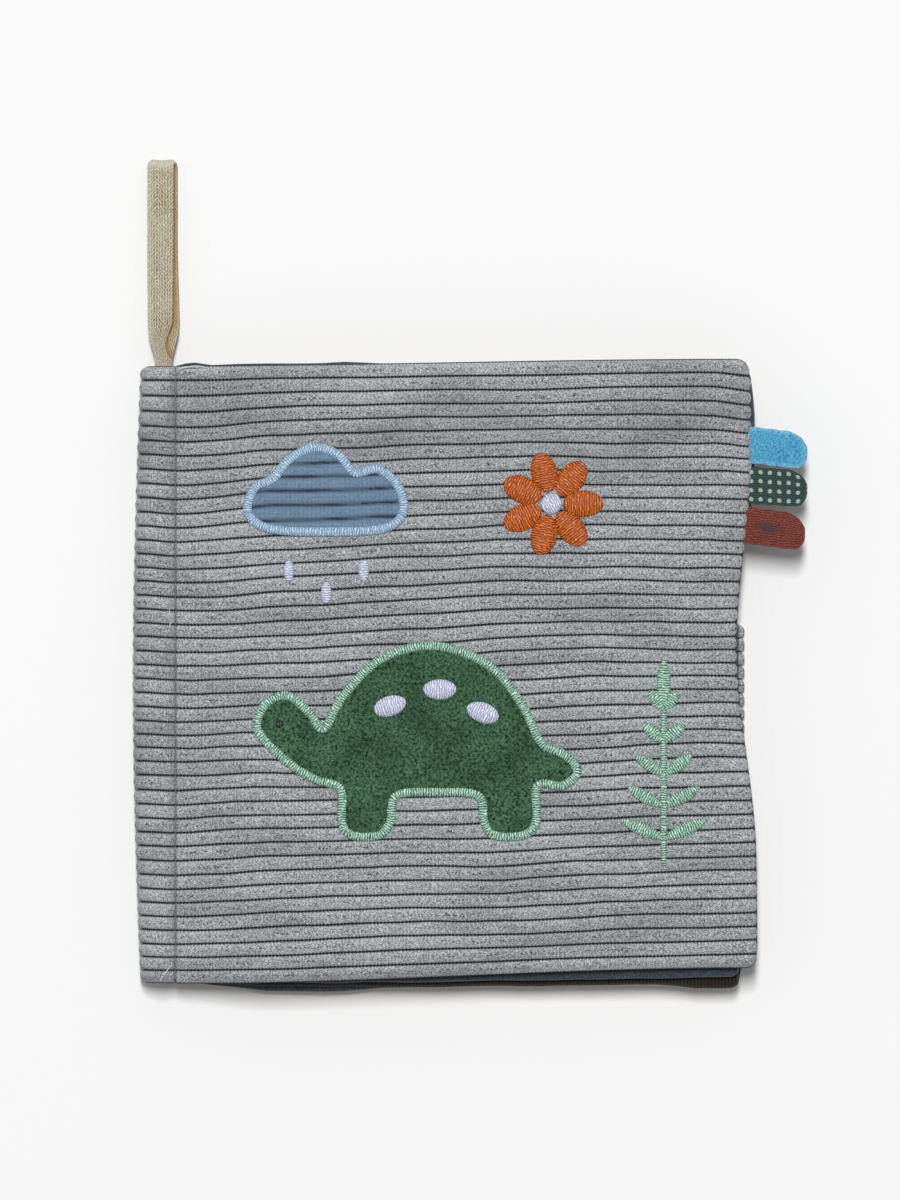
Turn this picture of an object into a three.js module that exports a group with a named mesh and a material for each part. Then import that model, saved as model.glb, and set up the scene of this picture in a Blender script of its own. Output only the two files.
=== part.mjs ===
// A soft crinkle cloth book, closed, lying flat on its back cover.
// Its layers are stacked: back cover, three leaves, front cover, all caught in one stitched spine.
// X runs from the spine to the fore edge, Y to the head of the book, Z up out of the front cover.
// The origin is the middle of the back cover's underside. All sizes are millimetres.

import * as THREE from "three";
import { mergeVertices } from "three/addons/utils/BufferGeometryUtils.js";

// The book's plan.
const seamToFore = 184.4;
const backHeight = 196;
const seamX = -86.4;
const coverFoot = -97.6;
const coverHead = 99.4;
const cornerRadius = 4;

// The stack of layers, from the floor up, at full thickness.
const backThickness = 5;
const leafThickness = 3.6;
const frontThickness = 6;
const layerGap = 0.3;
const pieceGap = 0.3;
const hingeGap = 0.3;

// The stitched seam pinches the stack, which swells again over a ramp.
const seamPinchShare = 0.66;
const rampLength = 30;

// Cloths.
const corduroyThickness = 1.9;
const liningThickness = 1;
const pageThickness = 1;
const filmThickness = 0.25;
const coverCrown = 1.4;

// Wide-wale corduroy: cords run across the book.
const cordPitch = 4.5;
const cordDepth = 0.9;
const cordShoulderShare = 0.17;
const cordWave = 0.9;
const backCordStartShare = 0.5;
const cordCount = Math.round((coverHead - coverFoot) / cordPitch);

// The front cover's edges bow as its embroidery draws the cloth in.
const foreFlare = 2.2;
const forePinch = 5;
const forePinchCentreShare = 0.52;
const forePinchReachShare = 0.34;
const headRise = 2.2;
const footRise = 5.1;
const coverEdgeRadius = 3;
const pageEdgeRadius = 1.5;
const innerEdgeRadius = 0.8;

// The inner edges that show past the front cover.
const backForeInset = 2;
const leafForeInset = 1.2;
const leafHead = 99.2;
const leafHeadReachShare = 0.15;
const leafFootWidthShares = [0, 0.08, 0.17, 0.28, 0.38, 0.6, 0.88, 0.95, 1];
const leafFoots = [
  [-99.2, -99.4, -99.5, -99.6, -99.4, -98.7, -98.1, -97.9, -97.8],
  [-99.2, -99.9, -100.7, -101, -101, -100, -100.2, -101.7, -101.8],
  [-99.2, -100.7, -102.4, -102.6, -101, -99.6, -99.4, -99.4, -99.4],
];

// The spine: corduroy wrapped round the stitched margins.
const spineDepth = 11.2;
const spineBulge = 2.4;
const marginDepth = 6.6;
const coverMarginDepth = 4.8;
const marginEndInset = 1.2;
const wrapShares = [
  [0, 1],
  [0.2, 1.08],
  [0.52, 1.07],
  [0.84, 0.92],
  [1, 0.62],
  [1, 0.3],
  [0.86, 0.07],
  [0.62, 0],
  [0, 0],
];

// The thread of the binding seam.
const threadRadius = 0.35;
const threadDip = 0.3;
const threadInset = 0.9;

// The hang loop: cotton tape folded double, sewn in at the spine's head.
const tapeWidth = 9.2;
const tapeThickness = 1;
const loopLength = 65;
const loopX = -91;
const loopBaseWidthShare = 0.68;
const loopTaperLength = 11;
const loopNose = 1.15;
const loopFloorGap = 0.3;
const loopTipRadius = 2.2;
const loopUpperShares = [
  [0.16, 1],
  [0.35, 0.92],
  [0.55, 0.67],
  [0.75, 0.33],
  [0.9, 0],
];
const loopLowerShares = [
  [0.12, 0.72],
  [0.22, 0.26],
  [0.34, 0.05],
  [0.6, 0],
  [0.9, 0],
];
const loopTipSteps = 5;
const tailLength = 12;

// The three touch tabs, sewn into the front cover's fore edge.
const tabWidth = 12.2;
const tabLength = 16.2;
const tabThickness = 2;
const tabPitch = 12.9;
const tabTopY = 78.9;
const tabLeanShare = 0.08;
const tabTipRadius = 4.2;
const tabSeamShare = 0.42;
const tabNoseShares = [1, 0.8, 0.35, 0];
const tabNoseLeastShare = 0.2;
const tabTipShares = [1, 0.55, 0.2, 0];

// Applique and embroidery on the front cover.
const patchThickness = 0.8;
const satinThickness = 1.2;
const satinWidth = 3.2;
const outlineSteps = 84;
const ovalSteps = 12;
const petalSteps = 10;
const tortoiseLength = 106;
const tortoiseX = -7;
const tortoiseY = -34;
const tortoiseShares = [
  [-0.5, 0.15],
  [-0.475, 0.225],
  [-0.41, 0.25],
  [-0.345, 0.2],
  [-0.3, 0.15],
  [-0.24, 0.25],
  [-0.12, 0.365],
  [0.04, 0.4],
  [0.2, 0.34],
  [0.3, 0.22],
  [0.355, 0.11],
  [0.43, 0.07],
  [0.465, 0.02],
  [0.42, -0.02],
  [0.345, -0.02],
  [0.34, -0.13],
  [0.3, -0.17],
  [0.215, -0.17],
  [0.185, -0.13],
  [0.165, -0.05],
  [0.04, -0.04],
  [-0.08, -0.05],
  [-0.1, -0.13],
  [-0.135, -0.17],
  [-0.215, -0.17],
  [-0.245, -0.13],
  [-0.25, -0.03],
  [-0.33, 0],
  [-0.42, 0.06],
];
const spotLength = 11;
const spotWidth = 7;
const spotShares = [
  [-0.1, 0.22, 0.3],
  [0.05, 0.27, 0],
  [0.18, 0.2, -0.35],
];
const eyeRadius = 1.5;
const eyeShares = [-0.435, 0.165];
const cloudLength = 50;
const cloudX = -38;
const cloudY = 46;
const cloudShares = [
  [-0.5, 0.1],
  [-0.46, 0.26],
  [-0.34, 0.32],
  [-0.24, 0.44],
  [-0.08, 0.52],
  [0.08, 0.47],
  [0.18, 0.36],
  [0.33, 0.38],
  [0.46, 0.27],
  [0.49, 0.1],
  [0.36, 0],
  [0, -0.02],
  [-0.36, 0],
];
const dropWidth = 3.4;
const dropLength = 7;
const dropPitch = 12;
const dropCount = 3;
const dropFall = 10;
const petalCount = 7;
const petalReach = 16.5;
const petalWaist = 7;
const flowerX = 34;
const flowerY = 54;
const budRadius = 3.4;
const fernX = 70;
const fernY = -62;
const fernHeight = 62;
const fernReach = 14;
const fernStemReach = 1.1;
const fernPairs = 5;
const leafletHeight = 4.6;
const leafletShares = [
  [0, -0.5],
  [0.6, 0.1],
  [1, 1],
  [0.5, 0.9],
  [0, 0.5],
];

// Grids of the sheets.
const plainShares = [0.6];
const leafPlainShares = leafFootWidthShares.filter((share) => share * seamToFore > rampLength && share < 1);
const rampStepShares = [0, 0.33, 0.66, 1];
const rollShares = [1, 0.3, 0];
const coarseRollShares = [1, 0.2, 0];
const fillingFirstColumn = 2;

const seamSide = seamX + hingeGap / 2;
const spineSide = seamX - hingeGap / 2;

function lerp(a, b, t) {
  return a + (b - a) * t;
}

function smooth(t) {
  const c = Math.min(1, Math.max(0, t));
  return c * c * (3 - 2 * c);
}

// A flat shape from a list of points, with an optional hole, both turned the way round they need.
function flatShape(outline, hole) {
  const points = outline.map(([x, y]) => new THREE.Vector2(x, y));
  const shape = new THREE.Shape(THREE.ShapeUtils.isClockWise(points) ? points.reverse() : points);
  if (hole) shape.holes.push(new THREE.Path(hole.map(([x, y]) => new THREE.Vector2(x, y))));
  return shape;
}

// The layers' heights over the floor at any distance from the seam.
const thicknesses = [backThickness, leafThickness, leafThickness, leafThickness, frontThickness];
const backLayer = 0;
const frontLayer = thicknesses.length - 1;
const leafLayers = { leaf_3: 1, leaf_2: 2, leaf_1: 3 };

function pinchAt(x) {
  return lerp(seamPinchShare, 1, smooth((x - seamX) / rampLength));
}

function layerBase(layer, x) {
  const below = thicknesses.slice(0, layer);
  return below.reduce((height, thickness) => height + thickness * pinchAt(x) + layerGap, 0);
}

function layerTop(layer, x) {
  return layerBase(layer, x) + thicknesses[layer] * pinchAt(x);
}

const creaseZ = layerTop(frontLayer, seamX);

// A mesh from a list of points and triangles, turned so that its faces point outwards.
function solid(name, material, points, triangles) {
  let volume = 0;
  for (const [a, b, c] of triangles) {
    const [p, q, r] = [points[a], points[b], points[c]];
    volume += p[0] * (q[1] * r[2] - q[2] * r[1]);
    volume += p[1] * (q[2] * r[0] - q[0] * r[2]);
    volume += p[2] * (q[0] * r[1] - q[1] * r[0]);
  }
  const outward = volume < 0 ? triangles.map(([a, b, c]) => [a, c, b]) : triangles;
  const geometry = new THREE.BufferGeometry();
  geometry.setAttribute("position", new THREE.Float32BufferAttribute(points.flat(), 3));
  geometry.setIndex(outward.flat());
  const mesh = new THREE.Mesh(mergeVertices(geometry), material);
  mesh.geometry.computeVertexNormals();
  mesh.name = name;
  return mesh;
}

// One face of a sheet: a grid of points over column shares and row shares.
function faceGrid({ columns, rows, at }, points) {
  return rows.map((v) =>
    columns.map((u) => {
      points.push(at(u, v));
      return points.length - 1;
    }),
  );
}

function faceTriangles(grid, triangles, reversed) {
  for (let j = 0; j + 1 < grid.length; j += 1) {
    for (let i = 0; i + 1 < grid[j].length; i += 1) {
      const [a, b] = [grid[j][i], grid[j][i + 1]];
      const [c, d] = [grid[j + 1][i + 1], grid[j + 1][i]];
      const pair = reversed ? [[a, c, b], [a, d, c]] : [[a, b, c], [a, c, d]];
      triangles.push(...pair);
    }
  }
}

// The rim of a face, once round from its first corner, each point with its place along the way.
function rimOf(grid, { columns, rows }) {
  const lastRow = rows.length - 1;
  const lastColumn = columns.length - 1;
  const rim = [];
  for (let i = 0; i < lastColumn; i += 1) rim.push([columns[i], grid[0][i]]);
  for (let j = 0; j < lastRow; j += 1) rim.push([1 + rows[j], grid[j][lastColumn]]);
  for (let i = lastColumn; i > 0; i -= 1) rim.push([3 - columns[i], grid[lastRow][i]]);
  for (let j = lastRow; j > 0; j -= 1) rim.push([4 - rows[j], grid[j][0]]);
  rim.push([4, grid[0][0]]);
  return rim;
}

// A closed sheet between an outer and an inner face, whose rims may have different counts.
function sheet(name, material, outer, inner) {
  const points = [];
  const triangles = [];
  const outerGrid = faceGrid(outer, points);
  const innerGrid = faceGrid(inner, points);
  faceTriangles(outerGrid, triangles, false);
  faceTriangles(innerGrid, triangles, true);
  const a = rimOf(outerGrid, outer);
  const b = rimOf(innerGrid, inner);
  let i = 0;
  let j = 0;
  while (i + 1 < a.length || j + 1 < b.length) {
    const nextA = i + 1 < a.length ? a[i + 1][0] : Infinity;
    const nextB = j + 1 < b.length ? b[j + 1][0] : Infinity;
    if (nextA <= nextB) {
      triangles.push([a[i][1], b[j][1], a[i + 1][1]]);
      i += 1;
    } else {
      triangles.push([a[i][1], b[j][1], b[j + 1][1]]);
      j += 1;
    }
  }
  return solid(name, material, points, triangles);
}

// Plans: the four edges of a layer, by share of its width u and of its height v.
function forePinchAt(v) {
  const away = Math.abs(v - forePinchCentreShare) / forePinchReachShare;
  return forePinch * (1 - smooth(away));
}

const coverFore = seamX + seamToFore;
const frontPlan = {
  left: () => seamSide,
  right: (v) => coverFore + foreFlare * (1 - v) - forePinchAt(v),
  foot: (u) => coverFoot - cordPitch / 2 + footRise * smooth(u),
  head: (u) => coverHead - headRise / 2 + headRise * smooth(u),
};
const spineFoot = frontPlan.foot(0);
const spineHead = frontPlan.head(0);
const backPlan = {
  left: () => seamSide,
  right: () => coverFore - backForeInset,
  foot: () => -backHeight / 2,
  head: () => backHeight / 2,
};

// A leaf's foot edge, which wanders in and out as soft pages do.
function leafFootAt(order, u) {
  const next = Math.max(1, leafFootWidthShares.findIndex((share) => share >= u));
  const [from, to] = [leafFootWidthShares[next - 1], leafFootWidthShares[next]];
  return lerp(leafFoots[order][next - 1], leafFoots[order][next], (u - from) / (to - from));
}

function leafPlan(order) {
  return {
    plainShares: leafPlainShares,
    left: () => seamSide,
    right: (v) => coverFore + leafForeInset * v - leafForeInset / 2 - forePinchAt(v),
    foot: (u) => leafFootAt(order, u),
    head: (u) => lerp(spineHead, leafHead, smooth(u / leafHeadReachShare)),
  };
}

// The height share near a rolled edge: nothing at the edge, all of it one radius in.
function roll(distance, radius) {
  if (distance >= radius) return 1;
  const left = 1 - Math.max(0, distance) / radius;
  return Math.sqrt(1 - left * left);
}

function cornerInset(distance) {
  if (distance >= cornerRadius) return 0;
  const left = cornerRadius - distance;
  return cornerRadius - Math.sqrt(cornerRadius * cornerRadius - left * left);
}

// Places a share of a plan, drawn in by an inset on its three open sides.
function planPoint(plan, u, v, inset) {
  const foot = plan.foot(u) + inset;
  const head = plan.head(u) - inset;
  const fromEnd = Math.min(v, 1 - v) * (head - foot);
  const left = plan.left(v);
  const right = plan.right(v) - inset - cornerInset(fromEnd);
  return [lerp(left, right, u), lerp(foot, head, v)];
}

function planRoll(plan, u, v, radius) {
  const width = plan.right(v) - plan.left(v);
  const height = plan.head(u) - plan.foot(u);
  const ends = roll(v * height, radius) * roll((1 - v) * height, radius);
  return ends * roll((1 - u) * width, radius);
}

// Column shares from the seam over the ramp and out to the rolled fore edge.
function columnShares(plan, radius, roundShares) {
  const ramp = rampStepShares.map((share) => (share * rampLength) / seamToFore);
  const edge = roundShares.map((share) => 1 - (share * radius) / seamToFore);
  return [...ramp, ...(plan.plainShares ?? plainShares), ...edge];
}

function rowShares(radius, roundShares) {
  const ends = roundShares.map((share) => (share * radius) / backHeight);
  return [...ends].reverse().concat([1 / 3, 2 / 3], ends.map((share) => 1 - share));
}

// The cords: their height share along the book, and the rows that their profile needs.
// A start share says how far into a cord the cloth begins.
function cordHeight(v, start) {
  const along = v * cordCount + start;
  const phase = along - Math.floor(along);
  return Math.min(1, phase / cordShoulderShare, (1 - phase) / cordShoulderShare);
}

function cordRows(start) {
  const rows = [0];
  for (let cord = 0; cord <= cordCount; cord += 1) {
    for (const share of [0, cordShoulderShare, 1 - cordShoulderShare]) {
      const row = (cord + share - start) / cordCount;
      if (row > 0 && row < 1) rows.push(row);
    }
  }
  rows.push(1);
  return rows;
}

function waveAt(u, v) {
  return cordWave * Math.sin(Math.PI * 2 * (u + v)) * Math.sin(Math.PI * v);
}

function crownAt(u, v) {
  const across = 1 - Math.pow(2 * u - 1, 6);
  const along = 1 - Math.pow(2 * v - 1, 6);
  return coverCrown * across * along;
}

function cloth(color, roughness) {
  return new THREE.MeshStandardMaterial({ color, roughness, metalness: 0 });
}

const corduroy = cloth(0x8d9196, 0.95);
const wadding = cloth(0xf2f1ec, 0.95);
const crinkleFilm = cloth(0xdfe4e6, 0.35);
const lining = cloth(0x5c6f7d, 0.9);
const pageNavy = cloth(0x46566b, 0.9);
const pageBrown = cloth(0x322b2a, 0.9);
const pageTan = cloth(0xb98f66, 0.9);
const pageTeal = cloth(0x54706f, 0.9);
const bindingThread = cloth(0x9a9da1, 0.7);
const cottonTape = cloth(0xd9d0b6, 0.85);
const blueFelt = cloth(0x45a5d6, 0.95);
const greenCotton = cloth(0x2f4544, 0.85);
const redVelvet = cloth(0x8a3f35, 0.9);
const greenVelvet = cloth(0x2f5a3c, 0.9);
const mintSatin = cloth(0x7fbf9f, 0.45);
const lilacSatin = cloth(0xc8cdf0, 0.45);
const blueSatin = cloth(0x8cb2dd, 0.45);
const blueMesh = cloth(0x6a86ab, 0.7);
const orangeSatin = cloth(0xdd6e1e, 0.45);
const eyeSatin = cloth(0x1c2420, 0.5);

// A cloth that covers one side of a layer and turns in at the layer's three open edges.
// The seam line of those edges lies at a share of the layer's thickness.
function skin(name, material, options) {
  const { plan, layer, side, thickness, radius, seamShare, corded, crowned } = options;
  const cordStart = crowned ? 0 : backCordStartShare;
  const up = side === "top";
  const rimGap = up ? pieceGap / 2 : -pieceGap / 2;
  const rimAt = (x) => layerBase(layer, x) + thicknesses[layer] * pinchAt(x) * seamShare + rimGap;
  const faceAt = (x, u, v) => {
    if (!up) return layerBase(layer, x);
    return layerTop(layer, x) + (crowned ? crownAt(u, v) * smooth((x - seamX) / rampLength) : 0);
  };
  const turn = up ? -1 : 1;
  const outerAt = (u, v) => {
    const [x, y] = planPoint(plan, u, v, 0);
    const cord = corded ? cordHeight(v, cordStart) : 1;
    const rim = rimAt(x);
    const full = faceAt(x, u, v) + turn * cordDepth * (1 - cord);
    const drawn = corded && up ? waveAt(u, v) : 0;
    return [x, y + drawn, lerp(rim, full, planRoll(plan, u, v, radius))];
  };
  const innerAt = (u, v) => {
    const [x, y] = planPoint(plan, u, v, thickness);
    const rim = rimAt(x);
    const full = faceAt(x, u, v) + turn * thickness;
    return [x, y, lerp(rim, full, planRoll(plan, u, v, innerEdgeRadius))];
  };
  const outerRows = corded ? cordRows(cordStart) : rowShares(radius, coarseRollShares);
  const outer = {
    columns: columnShares(plan, radius, corded ? rollShares : coarseRollShares),
    rows: outerRows,
    at: outerAt,
  };
  const inner = {
    columns: columnShares(plan, innerEdgeRadius, [1, 0]),
    rows: rowShares(innerEdgeRadius, [1, 0]),
    at: innerAt,
  };
  return sheet(name, material, outer, inner);
}

// A flat filling inside a layer, clear of the cloths round it. It stops short of the seam's pinch.
function filling(name, material, { plan, inset, bottomAt, topAt }) {
  const at = (height) => (u, v) => {
    const [x, y] = planPoint(plan, u, v, inset);
    return [x, y, height(x, u, v)];
  };
  const columns = columnShares(plan, innerEdgeRadius, [0]).slice(fillingFirstColumn);
  const rows = [0, 1 / 3, 2 / 3, 1];
  return sheet(name, material, { columns, rows, at: at(topAt) }, { columns, rows, at: at(bottomAt) });
}

// A cover: corduroy outside, wadding and crinkle film inside, lining towards the pages.
function cover(prefix, { plan, layer, outside, crowned }) {
  const up = outside === "top";
  const outwards = up ? 1 : -1;
  const seamShare = up ? tabSeamShare : 1 - tabSeamShare;
  const outerSkin = skin(`${prefix}_corduroy`, corduroy, {
    plan,
    layer,
    side: outside,
    thickness: corduroyThickness,
    radius: coverEdgeRadius,
    seamShare,
    corded: true,
    crowned,
  });
  const innerSkin = skin(`${prefix}_lining`, lining, {
    plan,
    layer,
    side: up ? "bottom" : "top",
    thickness: liningThickness,
    radius: pageEdgeRadius,
    seamShare,
  });
  const outerInside = (x, u, v) => {
    if (!up) return layerBase(layer, x) + corduroyThickness + pieceGap;
    const crown = crowned ? crownAt(u, v) * smooth((x - seamX) / rampLength) : 0;
    return layerTop(layer, x) + crown - corduroyThickness - pieceGap;
  };
  const innerInside = (x) => {
    const face = up ? layerBase(layer, x) : layerTop(layer, x);
    return face + outwards * (liningThickness + pieceGap);
  };
  const filmAt = (x) => innerInside(x) + outwards * filmThickness;
  const padAt = (x) => filmAt(x) + outwards * pieceGap;
  const inset = corduroyThickness + innerEdgeRadius + pieceGap;
  return [
    outerSkin,
    filling(`${prefix}_wadding`, wadding, { plan, inset, bottomAt: padAt, topAt: outerInside }),
    filling(`${prefix}_film`, crinkleFilm, { plan, inset, bottomAt: innerInside, topAt: filmAt }),
    innerSkin,
  ];
}

// A leaf: two page cloths sewn edge to edge with crinkle film between them.
function leaf(prefix, order, frontCloth, backCloth) {
  const layer = leafLayers[prefix];
  const plan = leafPlan(order);
  const shared = { plan, layer, thickness: pageThickness, radius: pageEdgeRadius, seamShare: 1 / 2 };
  const middleAt = (x) => (layerBase(layer, x) + layerTop(layer, x)) / 2;
  return [
    skin(`${prefix}_front_cloth`, frontCloth, { ...shared, side: "top" }),
    filling(`${prefix}_film`, crinkleFilm, {
      plan,
      inset: pageThickness + innerEdgeRadius + pieceGap,
      bottomAt: (x) => middleAt(x) - filmThickness / 2,
      topAt: (x) => middleAt(x) + filmThickness / 2,
    }),
    skin(`${prefix}_back_cloth`, backCloth, { ...shared, side: "bottom" }),
  ];
}

// The corduroy that wraps the spine, plump between its ends.
function spineWrap() {
  const steps = wrapShares.length - 1;
  const profileAt = (v, s, wall, sink) => {
    const depth = spineDepth + spineBulge * Math.sin(Math.PI * v) - wall;
    const [acrossShare, upShare] = wrapShares[Math.round(s * steps)];
    const low = wall + sink;
    const high = creaseZ - wall - sink;
    const across = acrossShare * (depth - sink);
    return [spineSide - across, lerp(low, high, upShare)];
  };
  const faceAt = (wall, corded) => (s, v) => {
    const sink = corded ? cordDepth * (1 - cordHeight(v, 0)) : 0;
    const [x, z] = profileAt(v, s, wall, sink);
    return [x, lerp(spineFoot, spineHead, v) + (corded ? waveAt(0, v) : 0), z];
  };
  const columns = wrapShares.map((_, index) => index / steps);
  const outer = { columns, rows: cordRows(0), at: faceAt(0, true) };
  const inner = { columns, rows: [0, 1 / 4, 1 / 2, 3 / 4, 1], at: faceAt(corduroyThickness, false) };
  return sheet("spine_wrap", corduroy, outer, inner);
}

// A layer's margin, caught in the spine.
function margin(name, material, depth, low, high, head) {
  const box = (z) => (u, v) => {
    const y = lerp(spineFoot + marginEndInset, head, v);
    return [lerp(spineSide - depth, spineSide, u), y, z];
  };
  const grid = { columns: [0, 1], rows: [0, 1] };
  return sheet(name, material, { ...grid, at: box(high) }, { ...grid, at: box(low) });
}

function margins() {
  const head = spineHead - marginEndInset;
  const base = (layer) => layerBase(layer, seamX);
  const top = (layer) => layerTop(layer, seamX);
  const lowest = corduroyThickness + pieceGap;
  const highest = creaseZ - corduroyThickness - pieceGap;
  const tailFoot = loopPivotY - loopNose - pieceGap - tailLength;
  return [
    margin("back_cover_margin", lining, coverMarginDepth, lowest, top(backLayer), head),
    margin("leaf_3_margin", pageTan, marginDepth, base(1), top(1), head),
    margin("leaf_2_margin", pageBrown, marginDepth, base(2), top(2), tailFoot - pieceGap),
    margin("leaf_1_margin", pageNavy, marginDepth, base(3), top(3), head),
    margin("front_cover_margin", lining, coverMarginDepth, base(frontLayer), highest, head),
  ];
}

// The binding thread lies in the crease, up over each cord and down into each groove.
function threadOnCrease() {
  const steps = cordCount * 2;
  const x = spineSide - threadInset;
  const ring = (share) => {
    const y = lerp(spineFoot, spineHead, share) + waveAt(0, share);
    const low = Math.round(share * steps) % 2 === 0;
    const z = creaseZ + spineTopRise() + pieceGap + threadRadius - (low ? threadDip : 0);
    return { y, z };
  };
  const rows = Array.from({ length: steps + 1 }, (_, step) => step / steps);
  const face = (side) => (u, v) => {
    const { y, z } = ring(v);
    const bend = u === 1 / 2 ? threadRadius : threadRadius / 4;
    return [x + (2 * u - 1) * threadRadius, y, z + side * bend];
  };
  const columns = [0, 1 / 2, 1];
  const upper = { columns, rows, at: face(1) };
  const lower = { columns, rows, at: face(-1) };
  return sheet("binding_thread", bindingThread, upper, lower);
}

// How far the wrap stands over the crease at the thread.
function spineTopRise() {
  const [acrossShare, upShare] = wrapShares[1];
  const reach = acrossShare * (spineDepth + spineBulge);
  return ((upShare - 1) * creaseZ * (threadInset + threadRadius)) / reach + threadDip;
}

// The hang loop's tape, folded double; its two layers part over the floor and turn at the tip.
const loopPivotY = spineHead + pieceGap + loopNose;
const loopPivotZ = (layerBase(2, seamX) + layerTop(2, seamX)) / 2;

function loopOutline() {
  const centre = [];
  const nearUpper = loopPivotZ + loopNose - tapeThickness / 2;
  const nearLower = loopPivotZ - loopNose + tapeThickness / 2;
  const lowest = loopFloorGap + tapeThickness / 2;
  const tipTop = lowest + loopTipRadius * 2;
  for (const [along, up] of loopUpperShares) {
    centre.push([along * loopLength, lerp(tipTop, nearUpper, up)]);
  }
  const tipCentre = loopLength - loopTipRadius;
  for (let step = 0; step <= loopTipSteps; step += 1) {
    const angle = Math.PI / 2 - (Math.PI * step) / loopTipSteps;
    const z = lowest + loopTipRadius + loopTipRadius * Math.sin(angle);
    centre.push([tipCentre + loopTipRadius * Math.cos(angle), z]);
  }
  for (const [along, up] of [...loopLowerShares].reverse()) {
    centre.push([along * loopLength, lerp(lowest, nearLower, up)]);
  }
  return centre;
}

function hangLoop() {
  const centre = loopOutline();
  const side = (distance) =>
    centre.map((point, index) => {
      const before = centre[Math.max(0, index - 1)];
      const after = centre[Math.min(centre.length - 1, index + 1)];
      const along = [after[0] - before[0], after[1] - before[1]];
      const size = Math.hypot(...along);
      return [point[0] - (along[1] / size) * distance, point[1] + (along[0] / size) * distance];
    });
  const outside = side(tapeThickness / 2);
  const inside = side(-tapeThickness / 2);
  const nose = [];
  for (let step = 0; step <= loopTipSteps; step += 1) {
    const angle = -Math.PI / 2 - (Math.PI * step) / loopTipSteps;
    nose.push([Math.cos(angle) * loopNose, loopPivotZ + Math.sin(angle) * loopNose]);
  }
  const shape = flatShape([...outside, ...nose], inside);
  const geometry = new THREE.ExtrudeGeometry(shape, { depth: tapeWidth, bevelEnabled: false });
  const position = geometry.getAttribute("position");
  for (let i = 0; i < position.count; i += 1) {
    const along = position.getX(i);
    const up = position.getY(i);
    const across = position.getZ(i) - tapeWidth / 2;
    const widthShare = lerp(loopBaseWidthShare, 1, smooth(along / loopTaperLength));
    position.setXYZ(i, loopX + across * widthShare, loopPivotY + along, up);
  }
  geometry.deleteAttribute("normal");
  geometry.deleteAttribute("uv");
  const merged = mergeVertices(geometry);
  const mesh = new THREE.Mesh(merged, cottonTape);
  mesh.name = "hang_loop";
  return mesh;
}

function hangLoopTail() {
  const width = tapeWidth * loopBaseWidthShare;
  const head = loopPivotY - loopNose - pieceGap;
  const box = (z) => (u, v) => {
    const x = lerp(spineSide - marginDepth, spineSide - marginDepth + width, u);
    return [x, lerp(head - tailLength, head, v), z];
  };
  const grid = { columns: [0, 1], rows: [0, 1] };
  const high = { ...grid, at: box(loopPivotZ + tapeThickness) };
  const low = { ...grid, at: box(loopPivotZ - tapeThickness) };
  return sheet("hang_loop_tail", cottonTape, high, low);
}

// A touch tab: a folded ribbon with a rounded tip and a round root to bend at.
const tabSeamZ = layerBase(frontLayer, coverFore) + frontThickness * tabSeamShare;

function tabRoot(order) {
  const centreY = tabTopY - tabWidth / 2 - order * tabPitch;
  const share = (centreY - coverFoot) / (coverHead - coverFoot);
  const edges = [-1, 0, 1].map((side) => frontPlan.right(share + (side * tabWidth) / 2 / backHeight));
  const x = Math.max(...edges) + pieceGap + tabThickness / 2;
  return { x, y: centreY };
}

function tab(name, material, order) {
  const root = tabRoot(order);
  const noseRadius = tabThickness / 2;
  const reach = tabLength + noseRadius;
  const columns = tabNoseShares
    .map((share) => ((1 - share) * noseRadius) / reach)
    .concat(tabTipShares.map((share) => 1 - (share * tabTipRadius) / reach));
  const rows = [0, 1 / 2, 1];
  const face = (side) => (u, v) => {
    const along = u * reach;
    const fromTip = reach - along;
    const drawn = fromTip >= tabTipRadius ? 0 : tabTipRadius * (1 - roll(fromTip, tabTipRadius));
    const half = tabWidth / 2 - drawn;
    const bend = Math.max(roll(along, noseRadius), tabNoseLeastShare);
    const y = root.y + (2 * v - 1) * half - tabLeanShare * along;
    return [root.x - noseRadius + along, y, tabSeamZ + side * noseRadius * bend];
  };
  return sheet(name, material, { columns, rows, at: face(1) }, { columns, rows, at: face(-1) });
}

// Flat trim on the front cover: its underside clears the tops of the cords.
const trimZ = layerTop(frontLayer, coverFore) + coverCrown + pieceGap;

function trim(name, material, outline, thickness, hole) {
  const shape = flatShape(outline, hole);
  const geometry = new THREE.ExtrudeGeometry(shape, { depth: thickness, bevelEnabled: false });
  geometry.deleteAttribute("normal");
  geometry.deleteAttribute("uv");
  const mesh = new THREE.Mesh(mergeVertices(geometry), material);
  mesh.name = name;
  mesh.position.z = trimZ;
  return mesh;
}

// A smooth closed outline through hand-chosen shares of a length.
function smoothOutline(shares, size, x, y, steps) {
  const through = shares.map(([across, up]) => new THREE.Vector3(x + across * size, y + up * size, 0));
  const curve = new THREE.CatmullRomCurve3(through, true, "centripetal");
  const points = curve.getSpacedPoints(steps).slice(0, -1);
  return points.map((point) => [point.x, point.y]);
}

// An outline moved outwards along its own normals, whichever way it runs.
function offsetOutline(outline, distance) {
  const turn = THREE.ShapeUtils.area(outline.map(([x, y]) => new THREE.Vector2(x, y))) > 0 ? 1 : -1;
  return outline.map(([x, y], index) => {
    const before = outline[(index + outline.length - 1) % outline.length];
    const after = outline[(index + 1) % outline.length];
    const along = [after[0] - before[0], after[1] - before[1]];
    const size = Math.hypot(...along) * turn;
    return [x + (along[1] / size) * distance, y - (along[0] / size) * distance];
  });
}

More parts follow.
